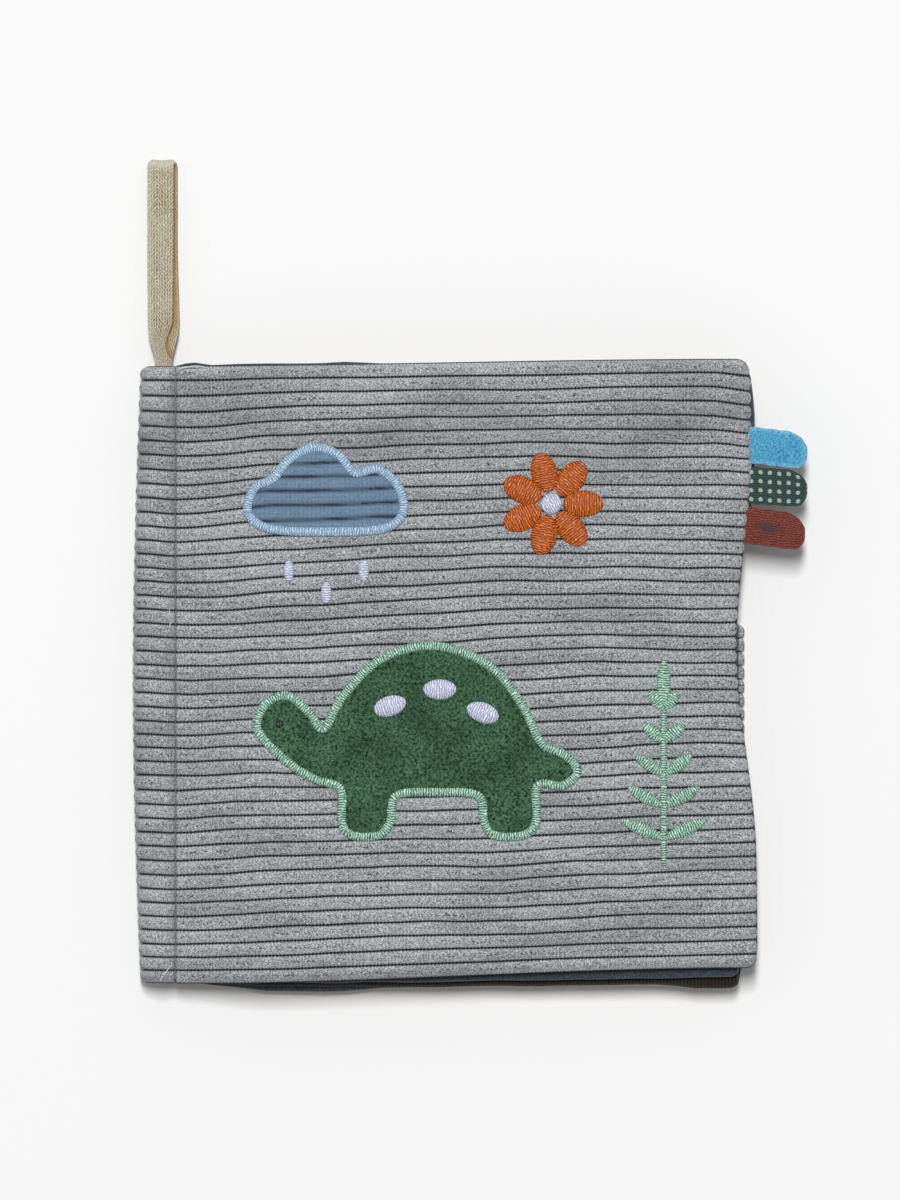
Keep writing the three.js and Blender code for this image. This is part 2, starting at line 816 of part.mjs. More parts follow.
function oval(x, y, length, width, turn) {
  const [cosine, sine] = [Math.cos(turn), Math.sin(turn)];
  return Array.from({ length: ovalSteps }, (_, step) => {
    const angle = (2 * Math.PI * step) / ovalSteps;
    const across = (Math.cos(angle) * length) / 2;
    const up = (Math.sin(angle) * width) / 2;
    return [x + across * cosine - up * sine, y + across * sine + up * cosine];
  });
}

// A patch with its satin border: the border rides the patch's edge.
function borderedPatch(names, materials, outline) {
  const outside = offsetOutline(outline, satinWidth / 2);
  const inside = offsetOutline(outline, -satinWidth / 2);
  const patch = offsetOutline(outline, -satinWidth / 2 - pieceGap);
  return [
    trim(names[0], materials[0], patch, patchThickness),
    trim(names[1], materials[1], outside, satinThickness, inside),
  ];
}

// What lies on the velvet patch sits over it with the usual gap.
function raised(mesh) {
  mesh.position.z += patchThickness + pieceGap;
  return mesh;
}

function tortoise() {
  const outline = smoothOutline(tortoiseShares, tortoiseLength, tortoiseX, tortoiseY, outlineSteps);
  const names = ["tortoise_velvet_patch", "tortoise_satin_border"];
  const spots = spotShares.map(([across, up, turn], index) => {
    const x = tortoiseX + across * tortoiseLength;
    const y = tortoiseY + up * tortoiseLength;
    const shape = oval(x, y, spotLength, spotWidth, turn);
    return raised(trim(`shell_spot_${index + 1}`, lilacSatin, shape, patchThickness));
  });
  const eyeX = tortoiseX + eyeShares[0] * tortoiseLength;
  const eyeY = tortoiseY + eyeShares[1] * tortoiseLength;
  const eyeShape = oval(eyeX, eyeY, 2 * eyeRadius, 2 * eyeRadius, 0);
  const eye = trim("tortoise_eye", eyeSatin, eyeShape, patchThickness);
  return [...borderedPatch(names, [greenVelvet, mintSatin], outline), ...spots, raised(eye)];
}

function cloud() {
  const outline = smoothOutline(cloudShares, cloudLength, cloudX, cloudY, outlineSteps / 2);
  return borderedPatch(["cloud_mesh_patch", "cloud_satin_border"], [blueMesh, blueSatin], outline);
}

function rain() {
  return Array.from({ length: dropCount }, (_, index) => {
    const x = cloudX + (index - (dropCount - 1) / 2) * dropPitch;
    const y = cloudY - dropFall - dropLength / 2 + (index % 2) * -dropLength;
    const shape = oval(x, y, dropLength, dropWidth, Math.PI / 2);
    return trim(`rain_stitch_${index + 1}`, lilacSatin, shape, satinThickness);
  });
}

function flower() {
  const steps = petalCount * petalSteps;
  const waist = (petalReach + petalWaist) / 2;
  const swing = (petalReach - petalWaist) / 2;
  const outside = Array.from({ length: steps }, (_, step) => {
    const angle = (2 * Math.PI * step) / steps;
    const wave = Math.cos(petalCount * angle);
    const reach = waist + swing * Math.sign(wave) * Math.sqrt(Math.abs(wave));
    return [flowerX + reach * Math.cos(angle), flowerY + reach * Math.sin(angle)];
  });
  const hole = oval(flowerX, flowerY, 2 * (budRadius + pieceGap), 2 * (budRadius + pieceGap), 0);
  const bud = oval(flowerX, flowerY, 2 * budRadius, 2 * budRadius, 0);
  return [
    trim("flower_petals", orangeSatin, outside, satinThickness, hole),
    trim("flower_bud", lilacSatin, bud, satinThickness),
  ];
}

// The fern: leaflets in pairs up a stem, each pair shorter than the last.
function fern() {
  const half = [];
  const rise = fernHeight / (fernPairs + 1);
  half.push([fernStemReach, 0]);
  for (let pair = 1; pair <= fernPairs; pair += 1) {
    const reach = fernReach * (1 - (pair - 1) / (fernPairs + 1));
    const root = pair * rise;
    for (const [out, up] of leafletShares) half.push([lerp(fernStemReach, reach, out), root + leafletHeight * up]);
  }
  half.push([0, fernHeight + leafletHeight]);
  const mirrored = half.slice(0, -1).reverse().map(([x, y]) => [-x, y]);
  const outline = [...half, ...mirrored].map(([x, y]) => [fernX + x, fernY + y]);
  return [trim("fern_embroidery", mintSatin, outline, satinThickness)];
}

const book = new THREE.Group();
book.name = "cloth_book";
book.add(
  spineWrap(),
  ...margins(),
  threadOnCrease(),
  hangLoopTail(),
  hangLoop(),
  ...cover("back_cover", { plan: backPlan, layer: backLayer, outside: "bottom" }),
  ...leaf("leaf_3", 2, pageNavy, pageTan),
  ...leaf("leaf_2", 1, pageBrown, pageTan),
  ...leaf("leaf_1", 0, pageNavy, pageTeal),
  ...cover("front_cover", { plan: frontPlan, layer: frontLayer, outside: "top", crowned: true }),
  ...tortoise(),
  ...cloud(),
  ...rain(),
  ...flower(),
  ...fern(),
  tab("felt_tab", blueFelt, 0),
  tab("printed_tab", greenCotton, 1),
  tab("velvet_tab", redVelvet, 2),
);

export default book;
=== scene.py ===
import math

import bmesh
import bpy
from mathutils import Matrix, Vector, noise


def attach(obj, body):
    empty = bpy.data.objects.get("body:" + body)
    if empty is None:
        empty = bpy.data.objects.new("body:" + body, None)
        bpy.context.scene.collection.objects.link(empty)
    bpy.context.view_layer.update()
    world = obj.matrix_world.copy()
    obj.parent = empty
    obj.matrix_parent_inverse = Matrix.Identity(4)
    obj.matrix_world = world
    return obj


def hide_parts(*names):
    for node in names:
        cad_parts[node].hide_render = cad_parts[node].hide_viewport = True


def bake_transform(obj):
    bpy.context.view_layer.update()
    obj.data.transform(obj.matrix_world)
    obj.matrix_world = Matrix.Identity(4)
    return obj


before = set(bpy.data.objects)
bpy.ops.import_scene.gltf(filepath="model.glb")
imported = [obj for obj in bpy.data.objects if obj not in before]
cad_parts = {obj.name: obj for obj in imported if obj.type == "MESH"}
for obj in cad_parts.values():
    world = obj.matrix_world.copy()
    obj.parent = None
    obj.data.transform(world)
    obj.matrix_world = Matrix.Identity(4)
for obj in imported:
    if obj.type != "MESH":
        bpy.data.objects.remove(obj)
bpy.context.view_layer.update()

# Sizes in millimetres, as in the part's source
MM = 0.001
SEAM_X = -86.4
SEAM_TO_FORE = 184.4
COVER_FORE = SEAM_X + SEAM_TO_FORE
COVER_FOOT = -97.6
COVER_HEAD = 99.4
BACK_HEIGHT = 196
HINGE_GAP = 0.3
SEAM_SIDE = SEAM_X + HINGE_GAP / 2
SPINE_SIDE = SEAM_X - HINGE_GAP / 2
GAP = 0.3
RAMP = 30
SEAM_PINCH = 0.66
THICKNESSES = [5, 3.6, 3.6, 3.6, 6]
BACK, FRONT = 0, 4
CORDUROY = 1.9
LINING = 1
PAGE = 1
FILM = 0.25
CORD_COUNT = 44
CORD_PITCH = 4.5
CORD_DEPTH = 1.25
CROWN = 1.4
STACK_HEIGHT = 24
COVER_ROLL = 3
PAGE_ROLL = 1.5
INNER_ROLL = 0.8


def mix(a, b, t):
    return a + (b - a) * t


def smooth(t):
    t = min(1, max(0, t))
    return t * t * (3 - 2 * t)


def roll(distance, radius):
    """The height share near a rolled edge: nothing at the edge, all of it one radius in."""
    left = 1 - min(1, max(0, distance / radius))
    return math.sqrt(1 - left * left)


def uneven(*place):
    """Smooth noise at a place, about -1 to 1."""
    return noise.noise(Vector(place))


def spline(a, b, c, d, t):
    """The point a share t of the way from b to c, on a smooth curve through all four."""
    bend = (2 * a - 5 * b + 4 * c - d) * t * t
    return 0.5 * (2 * b + (c - a) * t + bend + (3 * b - a - 3 * c + d) * t * t * t)


def thickened(bm):
    """Closes a flat sheet into a thin body. Gives back its lower and its upper points."""
    lower = bm.verts[:]
    made = bmesh.ops.extrude_face_region(bm, geom=bm.faces[:])
    return lower, [item for item in made["geom"] if isinstance(item, bmesh.types.BMVert)]


# Layers of the book, from the back cover up
def pinch(x):
    return mix(SEAM_PINCH, 1, smooth((x - SEAM_X) / RAMP))


def base(layer, x):
    return sum(t * pinch(x) + GAP for t in THICKNESSES[:layer])


def top(layer, x):
    return base(layer, x) + THICKNESSES[layer] * pinch(x)


def seam_level(layer, x, share, turn):
    """Where a layer's two cloths meet, by share of its thickness, with half a gap between."""
    return base(layer, x) + THICKNESSES[layer] * pinch(x) * share - turn * GAP / 2


CREASE_Z = top(FRONT, SEAM_X)

PUFF_COLUMNS, PUFF_ROWS = 42, 46
PUFF_LOW, PUFF_HIGH = (SEAM_X + 4, -97), (96, 98)
PUFF_CAP = 2.2
PUFF_STEPS = 20
PAD_WIDTH, PAD_HEIGHT, PAD_ROLL = 180, 195, 16
PAD_RIM, PAD_RISE = 0.8, 2


def blown_pad():
    """Blows the cover's pad up as cloth, cut a little large so that it buckles as a filled cover
    does. Gives back how far each place of its top face rose or sank, in millimetres."""
    bm = bmesh.new()
    bmesh.ops.create_grid(bm, x_segments=PUFF_COLUMNS, y_segments=PUFF_ROWS, size=0.5)
    lower, upper = thickened(bm)
    places = []
    for verts, side in ((upper, 1), (lower, -1)):
        for vert in verts:
            u, v = vert.co.x + 0.5, vert.co.y + 0.5
            x, y = mix(PUFF_LOW[0], PUFF_HIGH[0], u), mix(PUFF_LOW[1], PUFF_HIGH[1], v)
            edge = roll(min(u, 1 - u) * PAD_WIDTH, PAD_ROLL) * roll(min(v, 1 - v) * PAD_HEIGHT, PAD_ROLL)
            half = PAD_RIM + PAD_RISE * edge
            start = 0.8 * uneven(x / 26, y / 20, 7.7)
            places.append((u, v, half))
            vert.co = Vector((x, y, side * half + start)) * MM
    bm.verts.index_update()
    numbers = [vert.index for vert in upper]
    bmesh.ops.recalc_face_normals(bm, faces=bm.faces[:])
    mesh = bpy.data.meshes.new("blown_pad")
    bm.to_mesh(mesh)
    bm.free()
    pad = bpy.data.objects.new("blown_pad", mesh)
    bpy.context.scene.collection.objects.link(pad)
    swelling = pad.modifiers.new("swelling", "CLOTH")
    swelling.settings.quality = 6
    swelling.settings.use_pressure = True
    swelling.settings.uniform_pressure_force = 0.3
    swelling.settings.shrink_min = -0.03
    swelling.settings.effector_weights.gravity = 0
    for step in range(1, PUFF_STEPS + 1):
        bpy.context.scene.frame_set(step)
    swollen = pad.evaluated_get(bpy.context.evaluated_depsgraph_get()).to_mesh()
    rises = [
        swollen.vertices[number].co.z / MM - plain for number, (_, _, plain) in zip(numbers, places)
    ]
    bpy.data.objects.remove(pad)
    bpy.context.scene.frame_set(1)
    middle = sum(rises) / len(rises)
    table = [[0] * (PUFF_ROWS + 1) for _ in range(PUFF_COLUMNS + 1)]
    for (u, v, _), rise in zip(places, rises):
        column, row = round(u * PUFF_COLUMNS), round(v * PUFF_ROWS)
        table[column][row] = min(PUFF_CAP, max(-PUFF_CAP, rise - middle))
    return table


PUFF = blown_pad()


def puff(x, y):
    """The blown pad's height at a place, between the points of its table."""
    if not PUFF:
        return 0
    across = (x - PUFF_LOW[0]) / (PUFF_HIGH[0] - PUFF_LOW[0]) * PUFF_COLUMNS
    along = (y - PUFF_LOW[1]) / (PUFF_HIGH[1] - PUFF_LOW[1]) * PUFF_ROWS
    across = min(PUFF_COLUMNS - 0.001, max(0, across))
    along = min(PUFF_ROWS - 0.001, max(0, along))
    i, j = int(across), int(along)
    near = mix(PUFF[i][j], PUFF[i][j + 1], along - j)
    far = mix(PUFF[i + 1][j], PUFF[i + 1][j + 1], along - j)
    return mix(near, far, across - i)


# A shallow fold wanders across the cover near its head, 85 mm from one wave to the next
FOLD_Y = 77
FOLD_SWING = 8
FOLD_REACH = 12
FOLD_WAVE = 85 / (2 * math.pi)
FOLD_START = 37 / FOLD_WAVE - math.pi / 2


def valley(x, y):
    """One along the bottom of the cover's fold, nothing away from it."""
    line = FOLD_Y + FOLD_SWING * math.sin(x / FOLD_WAVE + FOLD_START)
    return 1 - smooth(abs(y - line) / FOLD_REACH)


def sway(x, y):
    """The soft unevenness of a filled book, at its top face."""
    broad = uneven(x / 70, y / 55, 3.1)
    folds = uneven(x / 36, y / 14, 8.2)
    height = 0.7 * broad + 0.6 * folds - 0.8 * valley(x, y) + puff(x, y)
    return height * smooth((x - SEAM_X) / RAMP)


def settled(x, y, z):
    """A place in the stack, with the stack's unevenness: most at the top, none on the floor."""
    return (x, y, z + sway(x, y) * z / STACK_HEIGHT)


# Plans of the layers
def fore_pinch(v):
    return 5.6 * (1 - smooth(abs(v - 0.52) / 0.34))


class Plan:
    """The edges of a layer, by share of its width u and of its height v."""

    def __init__(self, right, foot, head, corner=4):
        self.right = right
        self.foot = foot
        self.head = head
        self.corner = corner

    def point(self, u, v, inset=0):
        foot = self.foot(u) + inset
        head = self.head(u) - inset
        radius = 4 if v < 0.5 else self.corner
        corner = radius * (1 - roll(min(v, 1 - v) * (head - foot), radius))
        right = self.right(v) - inset - corner
        return mix(SEAM_SIDE, right, u), mix(foot, head, v)

    def rolled(self, u, v, radius):
        width = self.right(v) - SEAM_SIDE
        height = self.head(u) - self.foot(u)
        ends = roll(v * height, radius) * roll((1 - v) * height, radius)
        return ends * roll((1 - u) * width, radius)

    def fore(self, u, v, radius):
        return roll((1 - u) * (self.right(v) - SEAM_SIDE), radius)


FRONT_PLAN = Plan(
    lambda v: COVER_FORE + 2.2 * (1 - v) - fore_pinch(v),
    lambda u: COVER_FOOT - CORD_PITCH / 2 + 5.1 * smooth(u),
    lambda u: COVER_HEAD - 1.1 + 2.2 * smooth(u),
    corner=5,
)


def back_fore(v):
    """The back cover's fore edge, which draws in under the tabs from one wale to the next."""
    return COVER_FORE - 1.7 - 3.1 * smooth((v - 0.569) / 0.022) * (1 - smooth((v - 0.74) / 0.1))


BACK_PLAN = Plan(
    back_fore,
    lambda u: -BACK_HEIGHT / 2,
    lambda u: BACK_HEIGHT / 2,
)
BACK_LINING_PLAN = Plan(
    lambda v: back_fore(v) - 2.3,
    lambda u: -BACK_HEIGHT / 2 + 2.3,
    lambda u: BACK_HEIGHT / 2 - 2.3,
)


def mouth(x, y):
    """Where the fore edge's seam opens round the tabs: one at them, nothing elsewhere."""
    return smooth((y - 38.5) / 2.5) * smooth((81.5 - y) / 2.5) * smooth((x - 90) / 3)


SPINE_FOOT = FRONT_PLAN.foot(0)
SPINE_HEAD = FRONT_PLAN.head(0)
FOOT_SHARES = [0, 0.08, 0.17, 0.28, 0.38, 0.6, 0.88, 0.95, 1]
LEAF_FOOTS = [
    [-99.2, -99.4, -99.5, -99.6, -99.4, -98.9, -98.1, -97.9, -97.8],
    [-99.2, -99.9, -100.7, -101, -101, -100.7, -100.3, -101.7, -101.5],
    [-99.2, -100.7, -102.4, -102.6, -101.4, -100.6, -100, -99.4, -99.4],
]


def leaf_foot(order, u):
    """A leaf's foot edge, which wanders in and out as soft pages do."""
    place = next((i for i in range(1, len(FOOT_SHARES)) if FOOT_SHARES[i] >= u), len(FOOT_SHARES) - 1)
    share = (u - FOOT_SHARES[place - 1]) / (FOOT_SHARES[place] - FOOT_SHARES[place - 1])
    foot = mix(LEAF_FOOTS[order][place - 1], LEAF_FOOTS[order][place], smooth(share))
    return foot + 0.35 * uneven(u * 15, order * 5.5, 2.7) * smooth(u / 0.1)


def leaf_fore(v):
    """The leaves stay inside the cover's fore edge, but show a little above the tabs."""
    peek = 3.3 * smooth((v - 0.68) / 0.1) - 1.2 * smooth((v - 0.9) / 0.1)
    return COVER_FORE - 1.9 - 1.1 * (1 - smooth(v / 0.15)) + peek - fore_pinch(v)


def leaf_head(u):
    """The leaves' head edge, which bulges past the cover's in two places."""
    bulge = 1.1 * (1 - smooth(abs(u - 0.028) / 0.035)) + 0.55 * (1 - smooth(abs(u - 0.31) / 0.06))
    return mix(SPINE_HEAD, 99.1, smooth(u / 0.15)) + bulge


def leaf_plan(order):
    return Plan(leaf_fore, lambda u: leaf_foot(order, u), leaf_head, corner=8)


def crown(u, v):
    return CROWN * (1 - (2 * u - 1) ** 6) * (1 - (2 * v - 1) ** 6)


def crowned_top(layer, x, u, v):
    """A layer's top face, with the crown that it has away from the seam."""
    return top(layer, x) + crown(u, v) * smooth((x - SEAM_X) / RAMP)


def drift(u, v):
    """How far a wale wanders along the book from its straight line."""
    wave = 0.9 * math.sin(2 * math.pi * (u + v)) * math.sin(math.pi * v)
    dip = 1.6 * (1 - smooth(u * SEAM_TO_FORE / 34)) * smooth(v / 0.12) * (1 - smooth((v - 0.88) / 0.12))
    corner = 1.3 * smooth((u - 0.93) / 0.07) * smooth((v - 0.72) / 0.2) * (1 - smooth((v - 0.97) / 0.03))
    wobble = 0.75 * uneven(u * 6.5, v * 11, 5.5)
    wobble += 0.3 * uneven(u * 17, v * 34, 2.2)
    return wave - dip - corner + wobble * min(1, 12 * v, 12 * (1 - v))


# Wales of the corduroy
CORD_STEPS = [0, 0.045, 0.11, 0.22, 0.36, 0.5, 0.64, 0.78, 0.89, 0.955]


def cord_phase(v, start):
    along = v * CORD_COUNT + start
    return along - math.floor(along)


def cord_rise(phase):
    """A wale's section: a broad round top between narrow grooves."""
    return (1 - abs(2 * phase - 1) ** 2.3) ** 0.5


def groove_share(v, start=0):
    """How deep a place lies between wales: one in the groove, nothing on a wale's top."""
    return 1 - cord_rise(cord_phase(v, start))


def cord_end(phase):
    """How far a wale's rounded end draws back beside a groove, in millimetres."""
    return 1.5 * abs(2 * phase - 1) ** 3


def cord_mark(phase):
    """How far a place is from its wale's middle: one in the groove, for the material."""
    return abs(2 * phase - 1)


def cord_rows(start):
    rows = {0, 1}
    for cord in range(CORD_COUNT + 1):
        for step in CORD_STEPS:
            row = (cord + step - start) / CORD_COUNT
            if 0 < row < 1:
                rows.add(row)
    return sorted(rows)


def edge_shares(total, radius, spacing, near):
    """Shares along a length, close together near its start, and rounding off at its end."""
    places = list(near)
    while places[-1] + spacing < total - radius:
        places.append(places[-1] + spacing)
    places += [total - radius * share for share in (1, 0.72, 0.48, 0.28, 0.13, 0.03, 0)]
    return [place / total for place in places]


def both_ends(total, radius, spacing):
    """Shares along a length that rounds off at both its ends."""
    ends = [radius * share for share in (0, 0.03, 0.13, 0.28, 0.48, 0.72, 1)]
    count = max(1, round((total - 2 * radius) / spacing))
    middle = [radius + (total - 2 * radius) * step / count for step in range(1, count)]
    places = ends + middle + [total - place for place in reversed(ends)]
    return [place / total for place in places]


NEAR_SEAM = [0, 0.4, 1, 1.8, 2.8, 4.2, 6, 8.5, 12, 16, 20.5, 25, 30]
COVER_COLUMNS = edge_shares(SEAM_TO_FORE, COVER_ROLL, 4.6, NEAR_SEAM)
PAGE_COLUMNS = edge_shares(SEAM_TO_FORE, PAGE_ROLL, 6.5, NEAR_SEAM[::2])
PAGE_ROWS = both_ends(BACK_HEIGHT, PAGE_ROLL, 5)


# Making meshes
def finished(bm, name, material, rounded=True):
    """Turns a bmesh into a piece of the book, with its faces outwards."""
    bmesh.ops.recalc_face_normals(bm, faces=bm.faces[:])
    mesh = bpy.data.meshes.new(name)
    bm.to_mesh(mesh)
    bm.free()
    for face in mesh.polygons:
        face.use_smooth = rounded
    mesh.materials.append(material)
    piece = bpy.data.objects.new(name, mesh)
    bpy.context.scene.collection.objects.link(piece)
    return piece


def cloth(name, material, columns, rows, outside, inside, weave):
    """A closed piece of cloth between two faces; each point carries its place in the weave."""
    bm = bmesh.new()
    mark = bm.verts.layers.float_vector.new("weave")
    bmesh.ops.create_grid(bm, x_segments=len(columns) - 1, y_segments=len(rows) - 1, size=0.5)
    lower, upper = thickened(bm)
    for verts, at in ((lower, inside), (upper, outside)):
        for vert in verts:
            u = columns[round((vert.co.x + 0.5) * (len(columns) - 1))]
            v = rows[round((vert.co.y + 0.5) * (len(rows) - 1))]
            vert[mark] = weave(u, v)
            vert.co = Vector(at(u, v)) * MM
    return finished(bm, name, material)


def swept(bm, columns, rows, at, weave):
    """Adds a band to a bmesh: a grid wrapped once round its section, welded and closed at its ends."""
    mark = bm.verts.layers.float_vector.get("weave") or bm.verts.layers.float_vector.new("weave")
    before = set(bm.verts)
    bmesh.ops.create_grid(bm, x_segments=columns, y_segments=rows, size=0.5)
    fresh = [vert for vert in bm.verts if vert not in before]
    for vert in fresh:
        u, s = vert.co.x + 0.5, vert.co.y + 0.5
        vert[mark] = weave(u, s)
        vert.co = Vector(at(u, s)) * MM
    bmesh.ops.remove_doubles(bm, verts=fresh, dist=1e-6)
    bmesh.ops.holes_fill(bm, edges=[edge for edge in bm.edges if edge.is_boundary], sides=0)


def band(name, material, columns, rows, at, weave):
    """A piece made of one band."""
    bm = bmesh.new()
    swept(bm, columns, rows, at, weave)
    return finished(bm, name, material)


def smooth_outline(shares, size, x, y, steps):
    """A smooth closed outline through given shares of a length."""
    points = [Vector((x + a * size, y + b * size)) for a, b in shares]
    count = len(points)
    line = []
    for i in range(count):
        near = [points[(i + k) % count] for k in (-1, 0, 1, 2)]
        line += [spline(*near, step / 12) for step in range(12)]
    lengths = [0]
    for i in range(len(line)):
        lengths.append(lengths[-1] + (line[(i + 1) % len(line)] - line[i]).length)
    even = []
    place = 0
    for step in range(steps):
        wanted = lengths[-1] * step / steps
        while lengths[place + 1] < wanted:
            place += 1
        share = (wanted - lengths[place]) / (lengths[place + 1] - lengths[place])
        even.append(line[place].lerp(line[(place + 1) % len(line)], share))
    return even


def normals_of(outline):
    """The outward normal at each point of a closed outline, whichever way it runs."""
    count = len(outline)
    area = sum(
        outline[i].x * outline[(i + 1) % count].y - outline[(i + 1) % count].x * outline[i].y
        for i in range(count)
    )
    turn = 1 if area > 0 else -1
    found = []
    for i in range(count):
        along = (outline[(i + 1) % count] - outline[i - 1]).normalized() * turn
        found.append(Vector((along.y, -along.x)))
    return found


def moved_out(outline, distance):
    return [point + normal * distance for point, normal in zip(outline, normals_of(outline))]


# The height of the front cover's wales at any place on it
def cover_shares(x, y):
    v = 0.5
    for _ in range(4):
        u = (x - SEAM_SIDE) / (FRONT_PLAN.right(v) - SEAM_SIDE)
        foot, head = FRONT_PLAN.foot(u), FRONT_PLAN.head(u)
        v = (y - drift(u, v) - foot) / (head - foot)
    return u, v


def on_cover(x, y, z, sink=0):
    """A place over the cover's top face. sink is how far it follows the wales down into the grooves."""
    u, v = cover_shares(x, y)
    below = sink * groove_share(v)
    surface = crowned_top(FRONT, x, u, v)
    return settled(x, y, surface + z - below)


# Materials
def colour(code):
    """An sRGB hex value as the linear colour that a shader takes."""
    channels = [int(code[i : i + 2], 16) / 255 for i in (1, 3, 5)]
    linear = [c / 12.92 if c <= 0.04045 else ((c + 0.055) / 1.055) ** 2.4 for c in channels]
    return linear + [1.0]


def add(tree, kind, settings=None, inputs=None):
    """Adds a node with its settings, and its inputs as values or links."""
    node = tree.nodes.new(kind)
    for name, value in (settings or {}).items():
        setattr(node, name, value)
    for name, value in (inputs or {}).items():
        if isinstance(value, bpy.types.NodeSocket):
            tree.links.new(value, node.inputs[name])
        else:
            node.inputs[name].default_value = value
    return node


def new_material(name, roughness, sheen=0.0, sheen_roughness=0.5, specular=0.3):
    material = bpy.data.materials.new(name)
    material.use_nodes = True
    tree = material.node_tree
    shader = tree.nodes["Principled BSDF"]
    shader.inputs["Roughness"].default_value = roughness
    shader.inputs["Sheen Weight"].default_value = sheen
    shader.inputs["Sheen Roughness"].default_value = sheen_roughness
    shader.inputs["Specular IOR Level"].default_value = specular
    return material, tree, shader


def weave_place(tree):
    """The three numbers that each point of a cloth carries: across, along and its own mark."""
    carried = add(tree, "ShaderNodeAttribute", {"attribute_name": "weave"})
    parts = add(tree, "ShaderNodeSeparateXYZ", None, {0: carried.outputs["Vector"]})
    return parts.outputs


def grain(tree, size_mm, detail=2.0, roughness=0.6):
    """Noise whose features are about that size, on object coordinates."""
    place = add(tree, "ShaderNodeTexCoord")
    settings = {"Vector": place.outputs["Object"], "Scale": 1 / (size_mm * MM)}
    settings.update({"Detail": detail, "Roughness": roughness})
    return add(tree, "ShaderNodeTexNoise", None, settings).outputs[0]


def along_wales(tree, across, along, length_mm, width_mm):
    """A place on the cloth, for patterns that are longer along the wales than across them."""
    inputs = {0: maths(tree, "DIVIDE", across, length_mm), 1: maths(tree, "DIVIDE", along, width_mm)}
    return add(tree, "ShaderNodeCombineXYZ", None, inputs).outputs[0]


def streaks(tree, place, detail=2.0):
    settings = {"Vector": place, "Scale": 1.0, "Detail": detail}
    return add(tree, "ShaderNodeTexNoise", None, settings).outputs[0]


def ranged(tree, value, low, high, to_low=0.0, to_high=1.0):
    inputs = {"Value": value, "From Min": low, "From Max": high, "To Min": to_low, "To Max": to_high}
    return add(tree, "ShaderNodeMapRange", None, inputs).outputs[0]


def blended(tree, share, first, second):
    """From the first colour to the second by a share. Each is a link or an sRGB hex value."""
    first, second = (colour(side) if isinstance(side, str) else side for side in (first, second))
    inputs = {0: share, 6: first, 7: second}
    return add(tree, "ShaderNodeMix", {"data_type": "RGBA"}, inputs).outputs[2]


def maths(tree, operation, a, b=0.0, c=0.0):
    return add(tree, "ShaderNodeMath", {"operation": operation}, {0: a, 1: b, 2: c}).outputs[0]


def jittered(tree, value, texture, amount):
    """A value that a noise texture moves up and down."""
    return maths(tree, "MULTIPLY_ADD", maths(tree, "SUBTRACT", texture, 0.5), amount, value)


def ripple(tree, value, period):
    """A sine wave over a value in millimetres, from -1 to 1."""
    return maths(tree, "SINE", maths(tree, "MULTIPLY", value, 2 * math.pi / period))


def squares(tree, x, y):
    """The sum of two squares, for round marks."""
    return maths(tree, "MULTIPLY_ADD", x, x, maths(tree, "MULTIPLY", y, y))


def paint(tree, shader, base_colour):
    tree.links.new(base_colour, shader.inputs["Base Color"])


def relief(tree, shader, height, distance_mm, strength=1.0):
    inputs = {"Height": height, "Distance": distance_mm * MM, "Strength": strength}
    bump = add(tree, "ShaderNodeBump", None, inputs)
    tree.links.new(bump.outputs[0], shader.inputs["Normal"])


